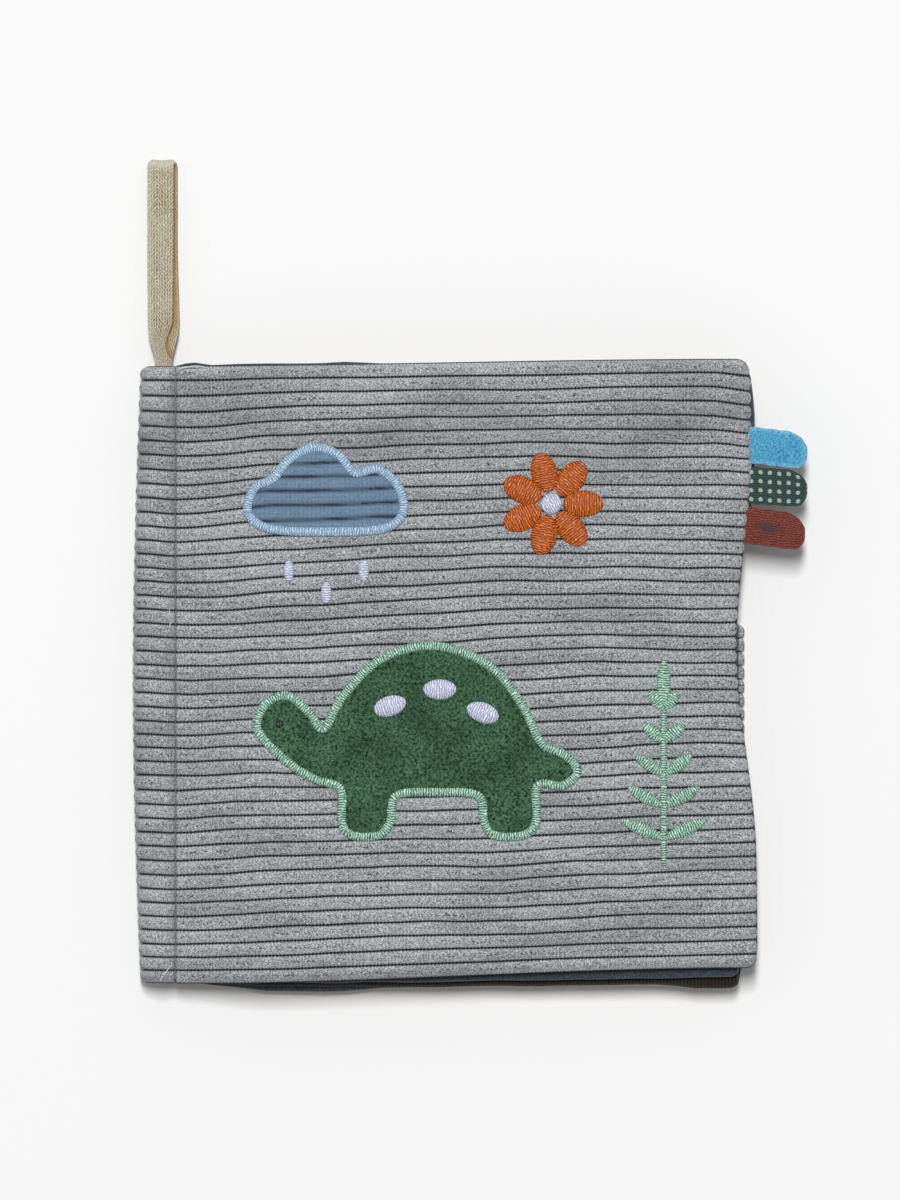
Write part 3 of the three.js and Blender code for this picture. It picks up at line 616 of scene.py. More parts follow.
def corduroy_material():
    # Jumbo cotton corduroy: the cut pile stands in round wales, so it is matt and mottled,
    # and the grooves between the wales are painted with a thin near-black line of shade.
    material, tree, shader = new_material("cotton_corduroy", 0.95, 0.18, 0.55, 0.15)
    across, along, mark = weave_place(tree)
    # Pile tufts of about 0.5 mm: a mottled tone, with painted highlights where the tuft noise raises them and
    # painted shade between them
    tuft = grain(tree, 0.45, 3.0, 0.8)
    pile = blended(tree, ranged(tree, tuft, 0.43, 0.6), "#6e7378", "#eaeef2")
    # Pinholes of painted shade where two rows of tufts part along a wale's middle, 1.1 mm apart; they come
    # and go
    cells = add(
        tree,
        "ShaderNodeTexVoronoi",
        {"feature": "F1"},
        {"Vector": along_wales(tree, across, along, 1.1, 0.75), "Scale": 1.0, "Randomness": 0.85},
    ).outputs["Distance"]
    rows = ranged(tree, streaks(tree, along_wales(tree, across, along, 9, 2.4)), 0.32, 0.55, 0.3)
    rows = maths(tree, "MULTIPLY", rows, ranged(tree, mark, 0.1, 0.42, 1.0, 0.0))
    pinhole_shade = maths(tree, "MULTIPLY", ranged(tree, cells, 0.22, 0.5, 1.0, 0.0), rows)
    pile = blended(tree, pinhole_shade, pile, "#14181b")
    # The nap lies this way and that, in patches some 45 mm long and 13 mm wide, painted as lighter and darker
    # streaks: partly the nap's tone, partly painted light and shade of soft folds
    nap = streaks(tree, along_wales(tree, across, along, 45, 13), 3.0)
    pile = blended(tree, ranged(tree, nap, 0.46, 0.7, 0.0, 0.2), pile, "#dcdee1")
    pile = blended(tree, ranged(tree, nap, 0.32, 0.54, 0.26, 0.0), pile, "#565a5e")
    # and painted shade darkens it in the fold that wanders across the cover near its head
    wave = maths(tree, "SINE", maths(tree, "MULTIPLY_ADD", across, 1 / FOLD_WAVE, FOLD_START))
    fold = maths(tree, "SUBTRACT", maths(tree, "MULTIPLY_ADD", wave, -FOLD_SWING, along), FOLD_Y)
    fold = ranged(tree, maths(tree, "ABSOLUTE", fold), 0, FOLD_REACH, 0.3, 0.0)
    pile = blended(tree, fold, pile, "#565a5e")
    # The rows of tufts notch the edges of the grooves' painted shade every 1.15 mm
    notch = ripple(tree, across, 1.15)
    notch = maths(tree, "MULTIPLY", notch, 0.05)
    notch = jittered(tree, notch, tuft, 0.2)
    ragged = maths(tree, "MULTIPLY_ADD", notch, ranged(tree, mark, 0.6, 0.8), mark)
    # groove is the share of near-black painted shade in the grooves
    groove = ranged(tree, ragged, 0.82, 0.88)
    paint(tree, shader, blended(tree, groove, pile, "#030506"))
    relief(tree, shader, tuft, 0.8, 1.0)
    return material


def pile_material(name, light, dark, size_mm, relief_mm, sheen, patchy=0.35):
    """A velvet, velour or felt: fibres stand or mat together, so it is matt, with a soft edge light.
    patchy is how much the nap lies this way and that. The fibres' mottle is partly painted: lighter where the
    fibre noise raises them, as painted highlight, and darker between, as painted shade."""
    material, tree, shader = new_material(name, 0.92, sheen, 0.4, 0.15)
    fibre = grain(tree, size_mm, 3.0, 0.7)
    cloud = grain(tree, 14, 2.0)
    # pile carries painted highlights on raised fibres and painted shade between them
    pile = blended(tree, ranged(tree, fibre, 0.35, 0.65), dark, light)
    pile = blended(tree, ranged(tree, cloud, 0.35, 0.7, 0.0, patchy), pile, dark)
    paint(tree, shader, pile)
    relief(tree, shader, fibre, relief_mm, 0.7)
    return material, tree, shader, pile, fibre


def ribbed_material(name, light, dark, pitch_mm, axis, relief_mm, sheen=0.15, fuzzy=3.2):
    """A fine-ribbed cloth: ribs at a real pitch, painted lighter on their backs as painted light and darker
    between as painted shade.
    fuzzy is how much its fibres blur the ribs."""
    material, tree, shader = new_material(name, 0.9, sheen, 0.5, 0.2)
    place = weave_place(tree)[axis]
    turn = ripple(tree, place, pitch_mm)
    fuzz = grain(tree, 0.5)
    raised = jittered(tree, turn, fuzz, fuzzy)
    # ribs carries painted light on the ribs' backs and painted shade between them
    ribs = blended(tree, ranged(tree, raised, -1.2, 1.2), dark, light)
    paint(tree, shader, ribs)
    relief(tree, shader, raised, relief_mm, 0.6)
    return material, tree, shader, ribs


def woven_material(name, light, dark, thread_mm, relief_mm):
    """A plain-weave cotton: threads over and under one another, seen as a fine even check of painted light on
    the raised threads and painted shade where they dip.
    """
    material, tree, shader = new_material(name, 0.88, 0.12, 0.5, 0.25)
    across, along, _ = weave_place(tree)
    wave_across = ripple(tree, across, 2 * thread_mm)
    wave_along = ripple(tree, along, 2 * thread_mm)
    check = maths(tree, "MULTIPLY", wave_across, wave_along)
    slub = grain(tree, 2.5, 3.0)
    height = jittered(tree, check, slub, 1.2)
    # threads carries painted light on raised threads and painted shade in the dips
    threads = blended(tree, ranged(tree, height, -1, 1), dark, light)
    paint(tree, shader, threads)
    relief(tree, shader, height, relief_mm, 0.5)
    return material


def satin_material(name, light, middle, dark):
    """Rayon embroidery thread laid side by side: each stitch is a glossy ridge, painted with highlights and
    glints on its back and painted shade between ridges. A 0.4 mm thread is too fine to show, so the ridges
    are drawn 0.8 mm apart. light is the painted highlight colour, middle the thread's own and dark the
    painted shade."""
    material, tree, shader = new_material(name, 0.42, 0.1, 0.3, 0.45)
    run = weave_place(tree)[1]
    wander = jittered(tree, run, grain(tree, 1.6), 1.5)
    ridge = ripple(tree, wander, 0.8)
    glint = grain(tree, 0.9, 2.0, 0.6)
    tone = jittered(tree, ridge, glint, 2.4)
    # dark is painted shade between the ridges, light is painted highlight on them
    thread = blended(tree, ranged(tree, tone, -1.0, 0.5), dark, middle)
    thread = blended(tree, ranged(tree, tone, 0.5, 1.4), thread, light)
    paint(tree, shader, thread)
    relief(tree, shader, ridge, 0.12, 0.8)
    return material


# How far along the hanging loop's tape it turns over
LOOP_TURN_RUN = 68


def tape_material():
    # Cotton herringbone tape: four columns of twill lines that lean left and right by turns,
    # cream, with painted warm bounced light in the fold between its layers.
    material, tree, shader = new_material("cotton_herringbone_tape", 0.85, 0.15, 0.5, 0.25)
    across, along, warm = weave_place(tree)
    zigzag = maths(tree, "PINGPONG", maths(tree, "ADD", across, 7.4), 3.1)
    wobble = jittered(tree, along, grain(tree, 1.3), 2.2)
    lean = maths(tree, "MULTIPLY_ADD", zigzag, 1.1, wobble)
    twill = ripple(tree, lean, 1.25)
    wander = jittered(tree, across, grain(tree, 2.6), 0.8)
    thread = ripple(tree, wander, 0.95)
    height = maths(tree, "MULTIPLY_ADD", thread, 0.8, twill)
    fuzz = grain(tree, 0.6)
    height = jittered(tree, height, fuzz, 3.0)
    # The twill's relief is painted into its colour: darker in its hollows as painted shade, lighter on its
    # ridges as painted light
    cream = blended(tree, ranged(tree, height, -2.1, 1.9), "#675c42", "#dad0b1")
    # Knots where a thread crosses a twill line, painted as highlights
    cream = blended(tree, ranged(tree, height, 0.9, 1.9, 0.0, 0.6), cream, "#f1ead4")
    # It is paler in patches, along its left edge and where it turns over
    paler_share = ranged(tree, grain(tree, 11), 0.4, 0.65, 0.0, 0.25)
    paler_share = maths(tree, "MAXIMUM", paler_share, ranged(tree, across, -4.4, -1.6, 0.4, 0.0))
    turn = maths(tree, "ABSOLUTE", maths(tree, "SUBTRACT", along, LOOP_TURN_RUN))
    paler_share = maths(tree, "MAXIMUM", paler_share, ranged(tree, turn, 1.5, 5, 0.55, 0.0))
    cream = blended(tree, paler_share, cream, "#e0dccd")
    # warm is painted bounced light, a warm tan inside the tape's fold
    paint(tree, shader, blended(tree, warm, cream, "#a9792f"))
    relief(tree, shader, height, 0.2, 0.7)
    return material


def mesh_patch_material():
    # Fine blue nylon net over the corduroy: the grooves under it are painted on it as darker lines of shade.
    material, tree, shader = new_material("nylon_net", 0.7, 0.3, 0.4, 0.3)
    across, along, mark = weave_place(tree)
    period = 2 * math.pi / 7.5
    net = ripple(tree, maths(tree, "ADD", across, along), period)
    cross_net = ripple(tree, maths(tree, "SUBTRACT", across, along), period)
    cells = maths(tree, "MULTIPLY", net, cross_net)
    fuzz = grain(tree, 0.6)
    height = jittered(tree, cells, fuzz, 2.0)
    blue = blended(tree, ranged(tree, height, -0.9, 0.9), "#364c66", "#849db8")
    ragged = jittered(tree, mark, fuzz, 0.5)
    # seen adds the painted shade of the grooves beneath, near navy
    seen = blended(tree, ranged(tree, ragged, 0.12, 0.62, 0.0, 0.92), blue, "#141f31")
    paint(tree, shader, seen)
    relief(tree, shader, height, 0.1, 0.5)
    return material


def film_material():
    # Polyethylene crinkle film: clear, thin and creased, so it shows as broken highlights.
    material, tree, shader = new_material("polyethylene_film", 0.22, 0, 0.5, 0.5)
    crease = grain(tree, 9, 4.0, 0.7)
    tint = blended(tree, ranged(tree, crease, 0.4, 0.6), "#cfd6d9", "#eef2f3")
    paint(tree, shader, tint)
    relief(tree, shader, crease, 1.2, 0.8)
    return material


def printed_material():
    # Dark green cotton sateen tab with a fine cross rib and a pale spot print.
    material, tree, shader, ribs = ribbed_material(
        "printed_cotton", "#3d5453", "#22312f", 0.75, 1, 0.12, 0.1
    )
    across, along, _ = weave_place(tree)
    # A spot in each 3 mm square, counted from its middle; 21 mm keeps both counts above nothing
    cell = 3.0
    spot = []
    for place in (across, along):
        folded = maths(tree, "PINGPONG", maths(tree, "ADD", place, 21.0), cell)
        spot.append(maths(tree, "SUBTRACT", folded, cell / 2))
    print_share = ranged(tree, squares(tree, *spot), 0.35, 0.6, 0.75, 0.0)
    paint(tree, shader, blended(tree, print_share, ribs, "#b9c4b0"))
    return material


def red_material():
    # Red-brown ribbed velour tab, with a soft dark oval printed in its middle.
    material, tree, shader, ribs = ribbed_material(
        "red_velour", "#8d463a", "#431e18", 0.85, 1, 0.12, 0.3, 7.0
    )
    across, along, _ = weave_place(tree)
    far_x = maths(tree, "MULTIPLY", maths(tree, "SUBTRACT", across, 4.4), 0.24)
    far_y = maths(tree, "MULTIPLY", along, 0.45)
    fuzz = jittered(tree, squares(tree, far_x, far_y), grain(tree, 1.2), 1.2)
    smudge = ranged(tree, fuzz, 0.1, 1.1, 0.75, 0.0)
    paint(tree, shader, blended(tree, smudge, ribs, "#38363f"))
    return material


def felt_material():
    # Blue wool felt: matted fibres, so it is matt and finely mottled, and its cut edges are
    # paler where single fibres stand out.
    material, tree, shader, pile, fibre = pile_material("wool_felt", "#6cbadd", "#2379a1", 0.6, 0.6, 0.2)
    across, along, _ = weave_place(tree)
    side = ranged(tree, maths(tree, "ABSOLUTE", along), 4.2, 6.1, 0.0, 0.5)
    tip = ranged(tree, across, 14, 17, 0.0, 0.5)
    fringe = maths(tree, "MULTIPLY", maths(tree, "MAXIMUM", side, tip), ranged(tree, fibre, 0.3, 0.6))
    paint(tree, shader, blended(tree, fringe, pile, "#a9d6e6"))
    return material


corduroy = corduroy_material()
wadding_fleece = pile_material("polyester_wadding", "#f6f5f1", "#dddbd4", 2.5, 0.8, 0.2)[0]
crinkle = film_material()
# The lining's colour is darkened as painted shade, for where it shows in shade inside the back cover's fore
# edge
lining_cotton = woven_material("cotton_lining", "#4b565e", "#333c43", 0.45, 0.08)
# Navy velour pages, as the blue-grey band at the book's foot shows; the colour is darkened as painted shade
# of the stack under the cover
navy_velour = pile_material("navy_velour", "#4f5962", "#252c32", 0.6, 0.4, 0.3)[0]
# Dark brown rib knit, ribs 1.1 mm apart, its colour darkened as painted shade of the stack under the cover
brown_rib = ribbed_material("brown_rib_knit", "#352b26", "#0e0b09", 1.1, 0, 0.25)[0]
tan_cotton = woven_material("tan_cotton", "#b3966f", "#87704f", 0.45, 0.08)
teal_cotton = woven_material("teal_cotton", "#64817f", "#40595a", 0.45, 0.08)
sewing_thread = satin_material("polyester_sewing_thread", "#969a9e", "#7b7f83", "#5d6164")
loose_thread = satin_material("loose_sewing_thread", "#ffffff", "#eceded", "#c9cbcd")
tape = tape_material()
blue_felt = felt_material()
printed = printed_material()
red_velour = red_material()
green_velvet = pile_material("green_velvet", "#56805f", "#07190f", 0.8, 0.8, 0.5, 0.45)[0]
mint_satin = satin_material("mint_satin_thread", "#e6faee", "#98c9b1", "#2f5746")
lilac_satin = satin_material("lilac_satin_thread", "#f4f6fe", "#d2d6ec", "#9095b5")
blue_satin = satin_material("blue_satin_thread", "#dbe9f6", "#a8c5e2", "#67869f")
orange_satin = satin_material("orange_satin_thread", "#f0862c", "#c85c0c", "#5e2604")
dark_satin = satin_material("dark_satin_thread", "#5a6a63", "#28302c", "#101412")
blue_net = mesh_patch_material()


# Corduroy of the covers and the spine
def plain_weave(plan):
    return lambda u, v: (*plan.point(u, v), 0)


def corduroy_cover(name, plan, layer, up, start):
    """The corduroy over one cover: wales across the book, rolled over at the three open edges."""
    turn = -1 if up else 1
    seam_share = 0.42 if up else 0.85

    def rim(x, y):
        opened = 1.05 * mouth(x, y) if up else 0
        return seam_level(layer, x, seam_share, turn) + opened

    def face(x, u, v):
        if not up:
            return base(layer, x)
        tuck = 1.1 * (1 - roll(x - SEAM_SIDE, 3.2))
        return crowned_top(layer, x, u, v) - tuck

    def outside(u, v):
        x, y = plan.point(u, v)
        sunk = CORD_DEPTH * groove_share(v, start)
        z = mix(rim(x, y), face(x, u, v) + turn * sunk, plan.rolled(u, v, COVER_ROLL))
        x -= cord_end(cord_phase(v, start)) * (1 - plan.fore(u, v, COVER_ROLL))
        if up:
            y += drift(u, v)
        return settled(x, y, z)

    def inside(u, v):
        x, y = plan.point(u, v, CORDUROY)
        z = mix(rim(x, y), face(x, u, v) + turn * CORDUROY, plan.rolled(u, v, INNER_ROLL))
        return settled(x, y, z)

    def weave(u, v):
        return (*plan.point(u, v), cord_mark(cord_phase(v, start)))

    return cloth(name, corduroy, COVER_COLUMNS, cord_rows(start), outside, inside, weave)


front_corduroy = corduroy_cover("front_cover_cloth", FRONT_PLAN, FRONT, True, 0)
back_corduroy = corduroy_cover("back_cover_cloth", BACK_PLAN, BACK, False, 0.5)

WRAP = [(0, 1), (0.2, 1.08), (0.52, 1.07), (0.84, 0.92), (1, 0.62), (1, 0.3), (0.86, 0.07), (0.62, 0), (0, 0)]


def wrap_share(s):
    """The spine's section, smooth through its shares."""
    place = s * (len(WRAP) - 1)
    index = min(len(WRAP) - 2, int(place))
    near = [WRAP[min(len(WRAP) - 1, max(0, index + k))] for k in (-1, 0, 1, 2)]
    return [spline(*shares, place - index) for shares in zip(*near)]


def spine_face(wall, corded):
    def at(s, v):
        length = SPINE_HEAD - SPINE_FOOT
        turned = 1 - roll(min(v, 1 - v) * length, 3.4)
        sunk = CORD_DEPTH * groove_share(v) if corded else 0
        depth = 11.2 + 2.4 * math.sin(math.pi * v) - wall - 1.4 * turned
        across, up = wrap_share(s)
        up = max(0, up)
        low = wall + sunk + 4.3 * turned
        high = CREASE_Z - wall - sunk - 4.6 * turned
        out = across * (depth - (cord_end(cord_phase(v, 0)) if corded else 0))
        tuck = (1.1 if corded else 0.4) * (1 - roll(out, 3)) if s < 0.4 else 0
        y = mix(SPINE_FOOT, SPINE_HEAD, v)
        if corded:
            y += drift(0, v) * (1 - 0.3 * smooth(out / 11)) * (1 - smooth((s - 0.6) / 0.4))
        return (SPINE_SIDE - max(0, out), y, mix(low, high, up) - tuck)

    return at


def spine_weave(s, v):
    return (-40 * s, mix(SPINE_FOOT, SPINE_HEAD, v), cord_mark(cord_phase(v, 0)))


SPINE_COLUMNS = [step / 40 for step in range(41)]
spine = cloth(
    "spine_cloth",
    corduroy,
    SPINE_COLUMNS,
    cord_rows(0),
    spine_face(0, True),
    spine_face(CORDUROY, False),
    spine_weave,
)


# Linings and pages
def page_cloth(name, material, plan, layer, up, seam_share):
    """A page's cloth, or a cover's lining, turned in along its three open edges."""
    turn = -1 if up else 1

    def rim(x, y):
        opened = 0.95 * mouth(x, y) if layer == FRONT else 0
        return seam_level(layer, x, seam_share, turn) - opened

    def face(x):
        return top(layer, x) if up else base(layer, x)

    def outside(u, v):
        x, y = plan.point(u, v)
        return settled(x, y, mix(rim(x, y), face(x), plan.rolled(u, v, PAGE_ROLL)))

    def inside(u, v):
        x, y = plan.point(u, v, PAGE)
        return settled(x, y, mix(rim(x, y), face(x) + turn * PAGE, plan.rolled(u, v, INNER_ROLL)))

    return cloth(name, material, PAGE_COLUMNS, PAGE_ROWS, outside, inside, plain_weave(plan))


def filling(name, material, plan, inset, low, high, crumple):
    """A filling inside a layer, clear of the cloths round it. crumple is how far it is creased."""
    first = 14.0 / SEAM_TO_FORE
    columns = [mix(first, 1, step / 44) for step in range(45)]
    rows = [step / 48 for step in range(49)]

    def at(height, edge):
        def place(u, v):
            x, y = plan.point(u, v, inset + edge)
            crease = crumple * uneven(x / 7, y / 7, 1.3)
            return settled(x, y, height(x, u, v) + crease)

        return place

    return cloth(name, material, columns, rows, at(high, 0.5), at(low, 0), plain_weave(plan))


def cover_inside(prefix, plan, lining_plan, layer, up):
    """Wadding, crinkle film and lining of one cover."""
    outwards = 1 if up else -1

    def outer(x, u, v):
        if not up:
            return base(layer, x) + CORDUROY + GAP
        return crowned_top(layer, x, u, v) - CORDUROY - GAP

    def inner(x, u, v):
        face = base(layer, x) if up else top(layer, x)
        return face + outwards * (LINING + GAP)

    def film_far(x, u, v):
        return inner(x, u, v) + outwards * FILM

    def pad(x, u, v):
        return film_far(x, u, v) + outwards * GAP

    inset = CORDUROY + INNER_ROLL + GAP
    share = 0.42 if up else 0.58
    near = (pad, outer) if up else (outer, pad)
    thin = (inner, film_far) if up else (film_far, inner)
    return [
        filling(f"{prefix}_wadding_pad", wadding_fleece, plan, inset, *near, 0.0),
        filling(f"{prefix}_film_sheet", crinkle, plan, inset, *thin, 0.12),
        page_cloth(f"{prefix}_lining_cloth", lining_cotton, lining_plan, layer, not up, share),
    ]


front_inside = cover_inside("front_cover", FRONT_PLAN, FRONT_PLAN, FRONT, True)
back_inside = cover_inside("back_cover", BACK_PLAN, BACK_LINING_PLAN, BACK, False)

LEAVES = [
    ("leaf_1", 0, 3, navy_velour, teal_cotton),
    ("leaf_2", 1, 2, brown_rib, tan_cotton),
    ("leaf_3", 2, 1, navy_velour, tan_cotton),
]


def leaf_pieces(prefix, order, layer, front_cloth, back_cloth):
    """The front page, crinkle film and back page of one leaf."""
    plan = leaf_plan(order)
    inset = PAGE + INNER_ROLL + GAP

    def film_face(side):
        return lambda x, u, v: (base(layer, x) + top(layer, x)) / 2 + side * FILM / 2

    return [
        page_cloth(f"{prefix}_front_page", front_cloth, plan, layer, True, 0.5),
        filling(f"{prefix}_film_sheet", crinkle, plan, inset, film_face(-1), film_face(1), 0.1),
        page_cloth(f"{prefix}_back_page", back_cloth, plan, layer, False, 0.5),
    ]


leaves = {leaf[0]: leaf_pieces(*leaf) for leaf in LEAVES}


# Margins held in the spine
def margin_piece(name, material, depth, low, high, head):
    foot = SPINE_FOOT + 1.2

    def at(height, side):
        def place(u, v):
            x = mix(SPINE_SIDE - depth, SPINE_SIDE, u)
            pucker = 0.12 * math.sin(v * 70 + u * 4)
            return (x, mix(foot, head, v), height + side * (0.12 - abs(pucker)))

        return place

    columns = [0, 0.1, 0.3, 0.6, 1]
    rows = [step / 60 for step in range(61)]
    weave = lambda u, v: (u * depth, mix(foot, head, v), 0)
    return cloth(name, material, columns, rows, at(high, -1), at(low, 1), weave)


MARGIN_HEAD = SPINE_HEAD - 1.2
LOOP_PIVOT_Y = SPINE_HEAD + GAP + 1.15
LOOP_PIVOT_Z = (base(2, SEAM_X) + top(2, SEAM_X)) / 2
TAIL_FOOT = LOOP_PIVOT_Y - 1.15 - GAP - 12
COVER_MARGIN, LEAF_MARGIN = 4.8, 6.6
# Each margin's owner, cloth, depth, low and high side, and its end at the head
MARGINS = [
    ("back_cover", lining_cotton, COVER_MARGIN, CORDUROY + GAP, top(0, SEAM_X), MARGIN_HEAD),
    ("leaf_3", tan_cotton, LEAF_MARGIN, base(1, SEAM_X), top(1, SEAM_X), MARGIN_HEAD),
    ("leaf_2", brown_rib, LEAF_MARGIN, base(2, SEAM_X), top(2, SEAM_X), TAIL_FOOT - GAP),
    ("leaf_1", navy_velour, LEAF_MARGIN, base(3, SEAM_X), top(3, SEAM_X), MARGIN_HEAD),
    ("front_cover", lining_cotton, COVER_MARGIN, base(4, SEAM_X), CREASE_Z - CORDUROY - GAP, MARGIN_HEAD),
]
margins = {
    f"{owner}_margin": margin_piece(f"{owner}_seam_margin", *sizes) for owner, *sizes in MARGINS
}


# Threads
def thread_on(bm, path, radius):
    """A thread of that radius along a path of points, added to a bmesh."""
    count = len(path) - 1

    def at(u, s):
        index = round(u * count)
        point = Vector(path[index])
        along = (Vector(path[min(count, index + 1)]) - Vector(path[max(0, index - 1)])).normalized()
        side = along.cross(Vector((0, 0, 1)))
        side = side.normalized() if side.length > 1e-6 else Vector((1, 0, 0))
        up = side.cross(along)
        angle = 2 * math.pi * s
        return point + (side * math.cos(angle) + up * math.sin(angle)) * radius

    swept(bm, count, 8, at, lambda u, s: (s, u * count * 0.5, 0))


def crease_path():
    path = []
    rows = [row for row in cord_rows(0) if 0.008 < row < 0.992]
    for v in rows:
        sunk = CORD_DEPTH * groove_share(v)
        y = mix(SPINE_FOOT, SPINE_HEAD, v) + drift(0, v)
        wander = 0.25 * uneven(v * 60, 1.7, 0.4)
        path.append((SEAM_X + wander, y, CREASE_Z - 0.95 - sunk * 0.8))
    return path


def curl(start, heading, length, rise, bend):
    """A short loose thread end that leaves a point and curls over."""
    path = []
    x, y, z = start
    angle = heading
    for step in range(15):
        path.append((x, y, z))
        x += math.cos(angle) * length / 14
        y += math.sin(angle) * length / 14
        z += rise / 14 * math.cos(step / 14 * math.pi)
        angle += bend / 14
    return path


def thread_piece(name, material, radius, paths):
    bm = bmesh.new()
    for path in paths:
        thread_on(bm, path, radius)
    return finished(bm, name, material)


# Loose ends: where each starts, its heading, length, rise and bend
SPINE_ENDS = [
    ((-87.0, 17.4, 15.9), 2.5, 3.2, 0.9, -1.0),
    ((-87.2, 16.6, 15.8), -2.5, 3.0, 0.8, 1.2),
    ((-87.6, -93.8, 16.3), 3.95, 6.4, 1.2, 0.3),
    ((-87.2, -96.2, 15.8), -2.2, 3.0, 1.0, -0.8),
]
HEAD_ENDS = [
    ((-84.6, 97.5, 16.3), 0.3, 5.4, 1.0, -0.6),
    ((-81.2, 98.0, 16.5), 0.15, 4.6, 0.9, -0.5),
    ((-78.0, 97.9, 16.9), 2.9, 3.8, 0.9, 0.5),
]
binding = thread_piece("binding_seam_thread", sewing_thread, 0.26, [crease_path()])
spine_curls = [curl(*loose) for loose in SPINE_ENDS]
head_curls = [curl(*loose) for loose in HEAD_ENDS]
thread_ends = thread_piece("loose_thread_ends", loose_thread, 0.16, spine_curls)
head_thread_ends = thread_piece("loose_head_thread_ends", loose_thread, 0.22, head_curls)


# Hanging loop
def loop_path():
    """The middle line of the tape: along the book and up, from its root out and back."""
    upper = [(-2.6, 8.0), (0, 8.05), (10.4, 8.11), (22.74, 7.88)]
    upper += [(35.76, 7.15), (48.76, 6.16), (58.5, 5.2), (62.8, 5.2)]
    nose = [(64.09, 4.78), (64.89, 3.68), (64.89, 2.32), (64.09, 1.22)]
    lower = [(62.8, 0.8), (58.5, 0.8), (39, 0.8), (22.1, 1.1)]
    lower += [(14.3, 2.36), (7.8, 5.13), (0, 6.8), (-2.6, 6.95)]
    points = [Vector(point) for point in upper + nose + lower]
    line = []
    for i in range(len(points) - 1):
        a, b = points[max(0, i - 1)], points[i]
        c, d = points[i + 1], points[min(len(points) - 1, i + 2)]
        steps = 3 if 7 <= i <= 11 else 8
        line += [spline(a, b, c, d, step / steps) for step in range(steps)]
    line.append(points[-1])
    return line


LOOP_LINE = loop_path()
LOOP_TURN = max(range(len(LOOP_LINE)), key=lambda i: LOOP_LINE[i].x)


def tape_section(s):
    """Once round a flat tape with soft edges: across and up, each from -1 to 1."""
    angle = 2 * math.pi * s
    across, up = math.cos(angle), math.sin(angle)
    return math.copysign(abs(across) ** 0.45, across), math.copysign(abs(up) ** 0.55, up)


def layer_span(along, turned):
    """The middle and half width of the tape, from the upper layer to the one underneath."""
    near = 1 - smooth((along - 9) / 30)
    base_share = smooth(along / 9)
    half = mix(2.95, 4.45, smooth(along / 13))
    # The upper layer draws in before its root and opens a pocket
    pocket = 1.05 * (1 - min(1, abs(along - 5) / 7.5)) * smooth(along / 2)
    upper = (-0.45 * base_share - pocket, half * mix(0.95, 0.9, near * base_share) - pocket)
    under = (mix(0.85, 1.5, near) * base_share, half * 0.94)
    middle = mix(-90.3, -91, base_share) + mix(upper[0], under[0], turned)
    return middle, mix(upper[1], under[1], turned)


def loop_at(u, s):
    count = len(LOOP_LINE) - 1
    index = round(u * count)
    point = LOOP_LINE[index]
    ahead = LOOP_LINE[min(count, index + 1)] - LOOP_LINE[max(0, index - 1)]
    ahead.normalize()
    across, up = tape_section(s)
    under = index > LOOP_TURN
    # The layer underneath lies further right; the tape steps across as it turns over
    middle, half = layer_span(point.x, smooth((index - LOOP_TURN + 6) / 12))
    x = middle + across * half
    base_share = smooth(point.x / 9)
    lean = 0.5 * (1 - smooth((point.x - 9) / 30)) * base_share
    # The upper layer tilts down to the right; its left edge stays clear of an opened cover
    tilt = 0.35 * lean * half * (across if under else -1 - across)
    thick = mix(0.42, 0.5, base_share) * up
    tip = smooth((point.x - 58.5) / 6)
    sag = (0.65 * (1 - across * across) + 0.9 * smooth((abs(across) - 0.72) / 0.28)) * tip
    y = LOOP_PIVOT_Y + point.x - ahead.y * thick - sag
    z = point.y + ahead.x * thick + tilt
    return (x, y, max(0.3, z))


def loop_weave(u, s):
    count = len(LOOP_LINE) - 1
    index = round(u * count)
    run = sum((LOOP_LINE[i + 1] - LOOP_LINE[i]).length for i in range(index))
    across, up = tape_section(s)
    under = index > LOOP_TURN
    # Light that has bounced inside the fold is warm, most of all next to the upper layer's edge
    warm = 0.0
    if under and up < -0.2:
        along = LOOP_LINE[index].x
        upper, upper_half = layer_span(along, 0)
        lower, lower_half = layer_span(along, 1)
        beyond = (lower + across * lower_half) - (upper + upper_half)
        reach = mix(1.8, 2.8, 1 - smooth((along - 9) / 30))
        warm = 1 - smooth((beyond + 0.2) / reach)
        warm *= smooth((beyond + 5) / 3)
    return (across * 4.6, run, warm)


loop = band("hanging_loop_tape", tape, len(LOOP_LINE) - 1, 20, loop_at, loop_weave)


def tail_at(u, s):
    across, up = tape_section(s)
    x = mix(SPINE_SIDE - 6.6, SPINE_SIDE - 0.34, 0.5) + across * 3.1
    head = LOOP_PIVOT_Y - 2.6 - GAP
    return (x, mix(head - 11, head, u), LOOP_PIVOT_Z + up * 0.95)


def tail_weave(u, s):
    return (tape_section(s)[0] * 3.1, u * 12, 0)


loop_tail = band("hanging_loop_tail_tape", tape, 12, 16, tail_at, tail_weave)

# Touch tabs
TAB_WIDTH = 12.2
TAB_REACH = 17.2
TAB_Z = base(FRONT, COVER_FORE) + THICKNESSES[FRONT] * 0.42
TAB_ROOTS = {"felt_tab": (99.597, 72.8), "printed_tab": (99.567, 59.9), "velvet_tab": (98.866, 47.0)}


def tab_line():
    """The folded ribbon's middle line: out along the top, round its fold, back underneath."""
    out = [(-3.6 + (TAB_REACH + 2) * step / 18, 0.5) for step in range(19)]
    fold = [
        (TAB_REACH - 1.6 + 0.5 * math.sin(math.pi * step / 6), 0.5 * math.cos(math.pi * step / 6))
        for step in range(1, 6)
    ]
    back = [(along, -up) for along, up in reversed(out)]
    return [Vector(point) for point in out + fold + back]


TAB_LINE = tab_line()


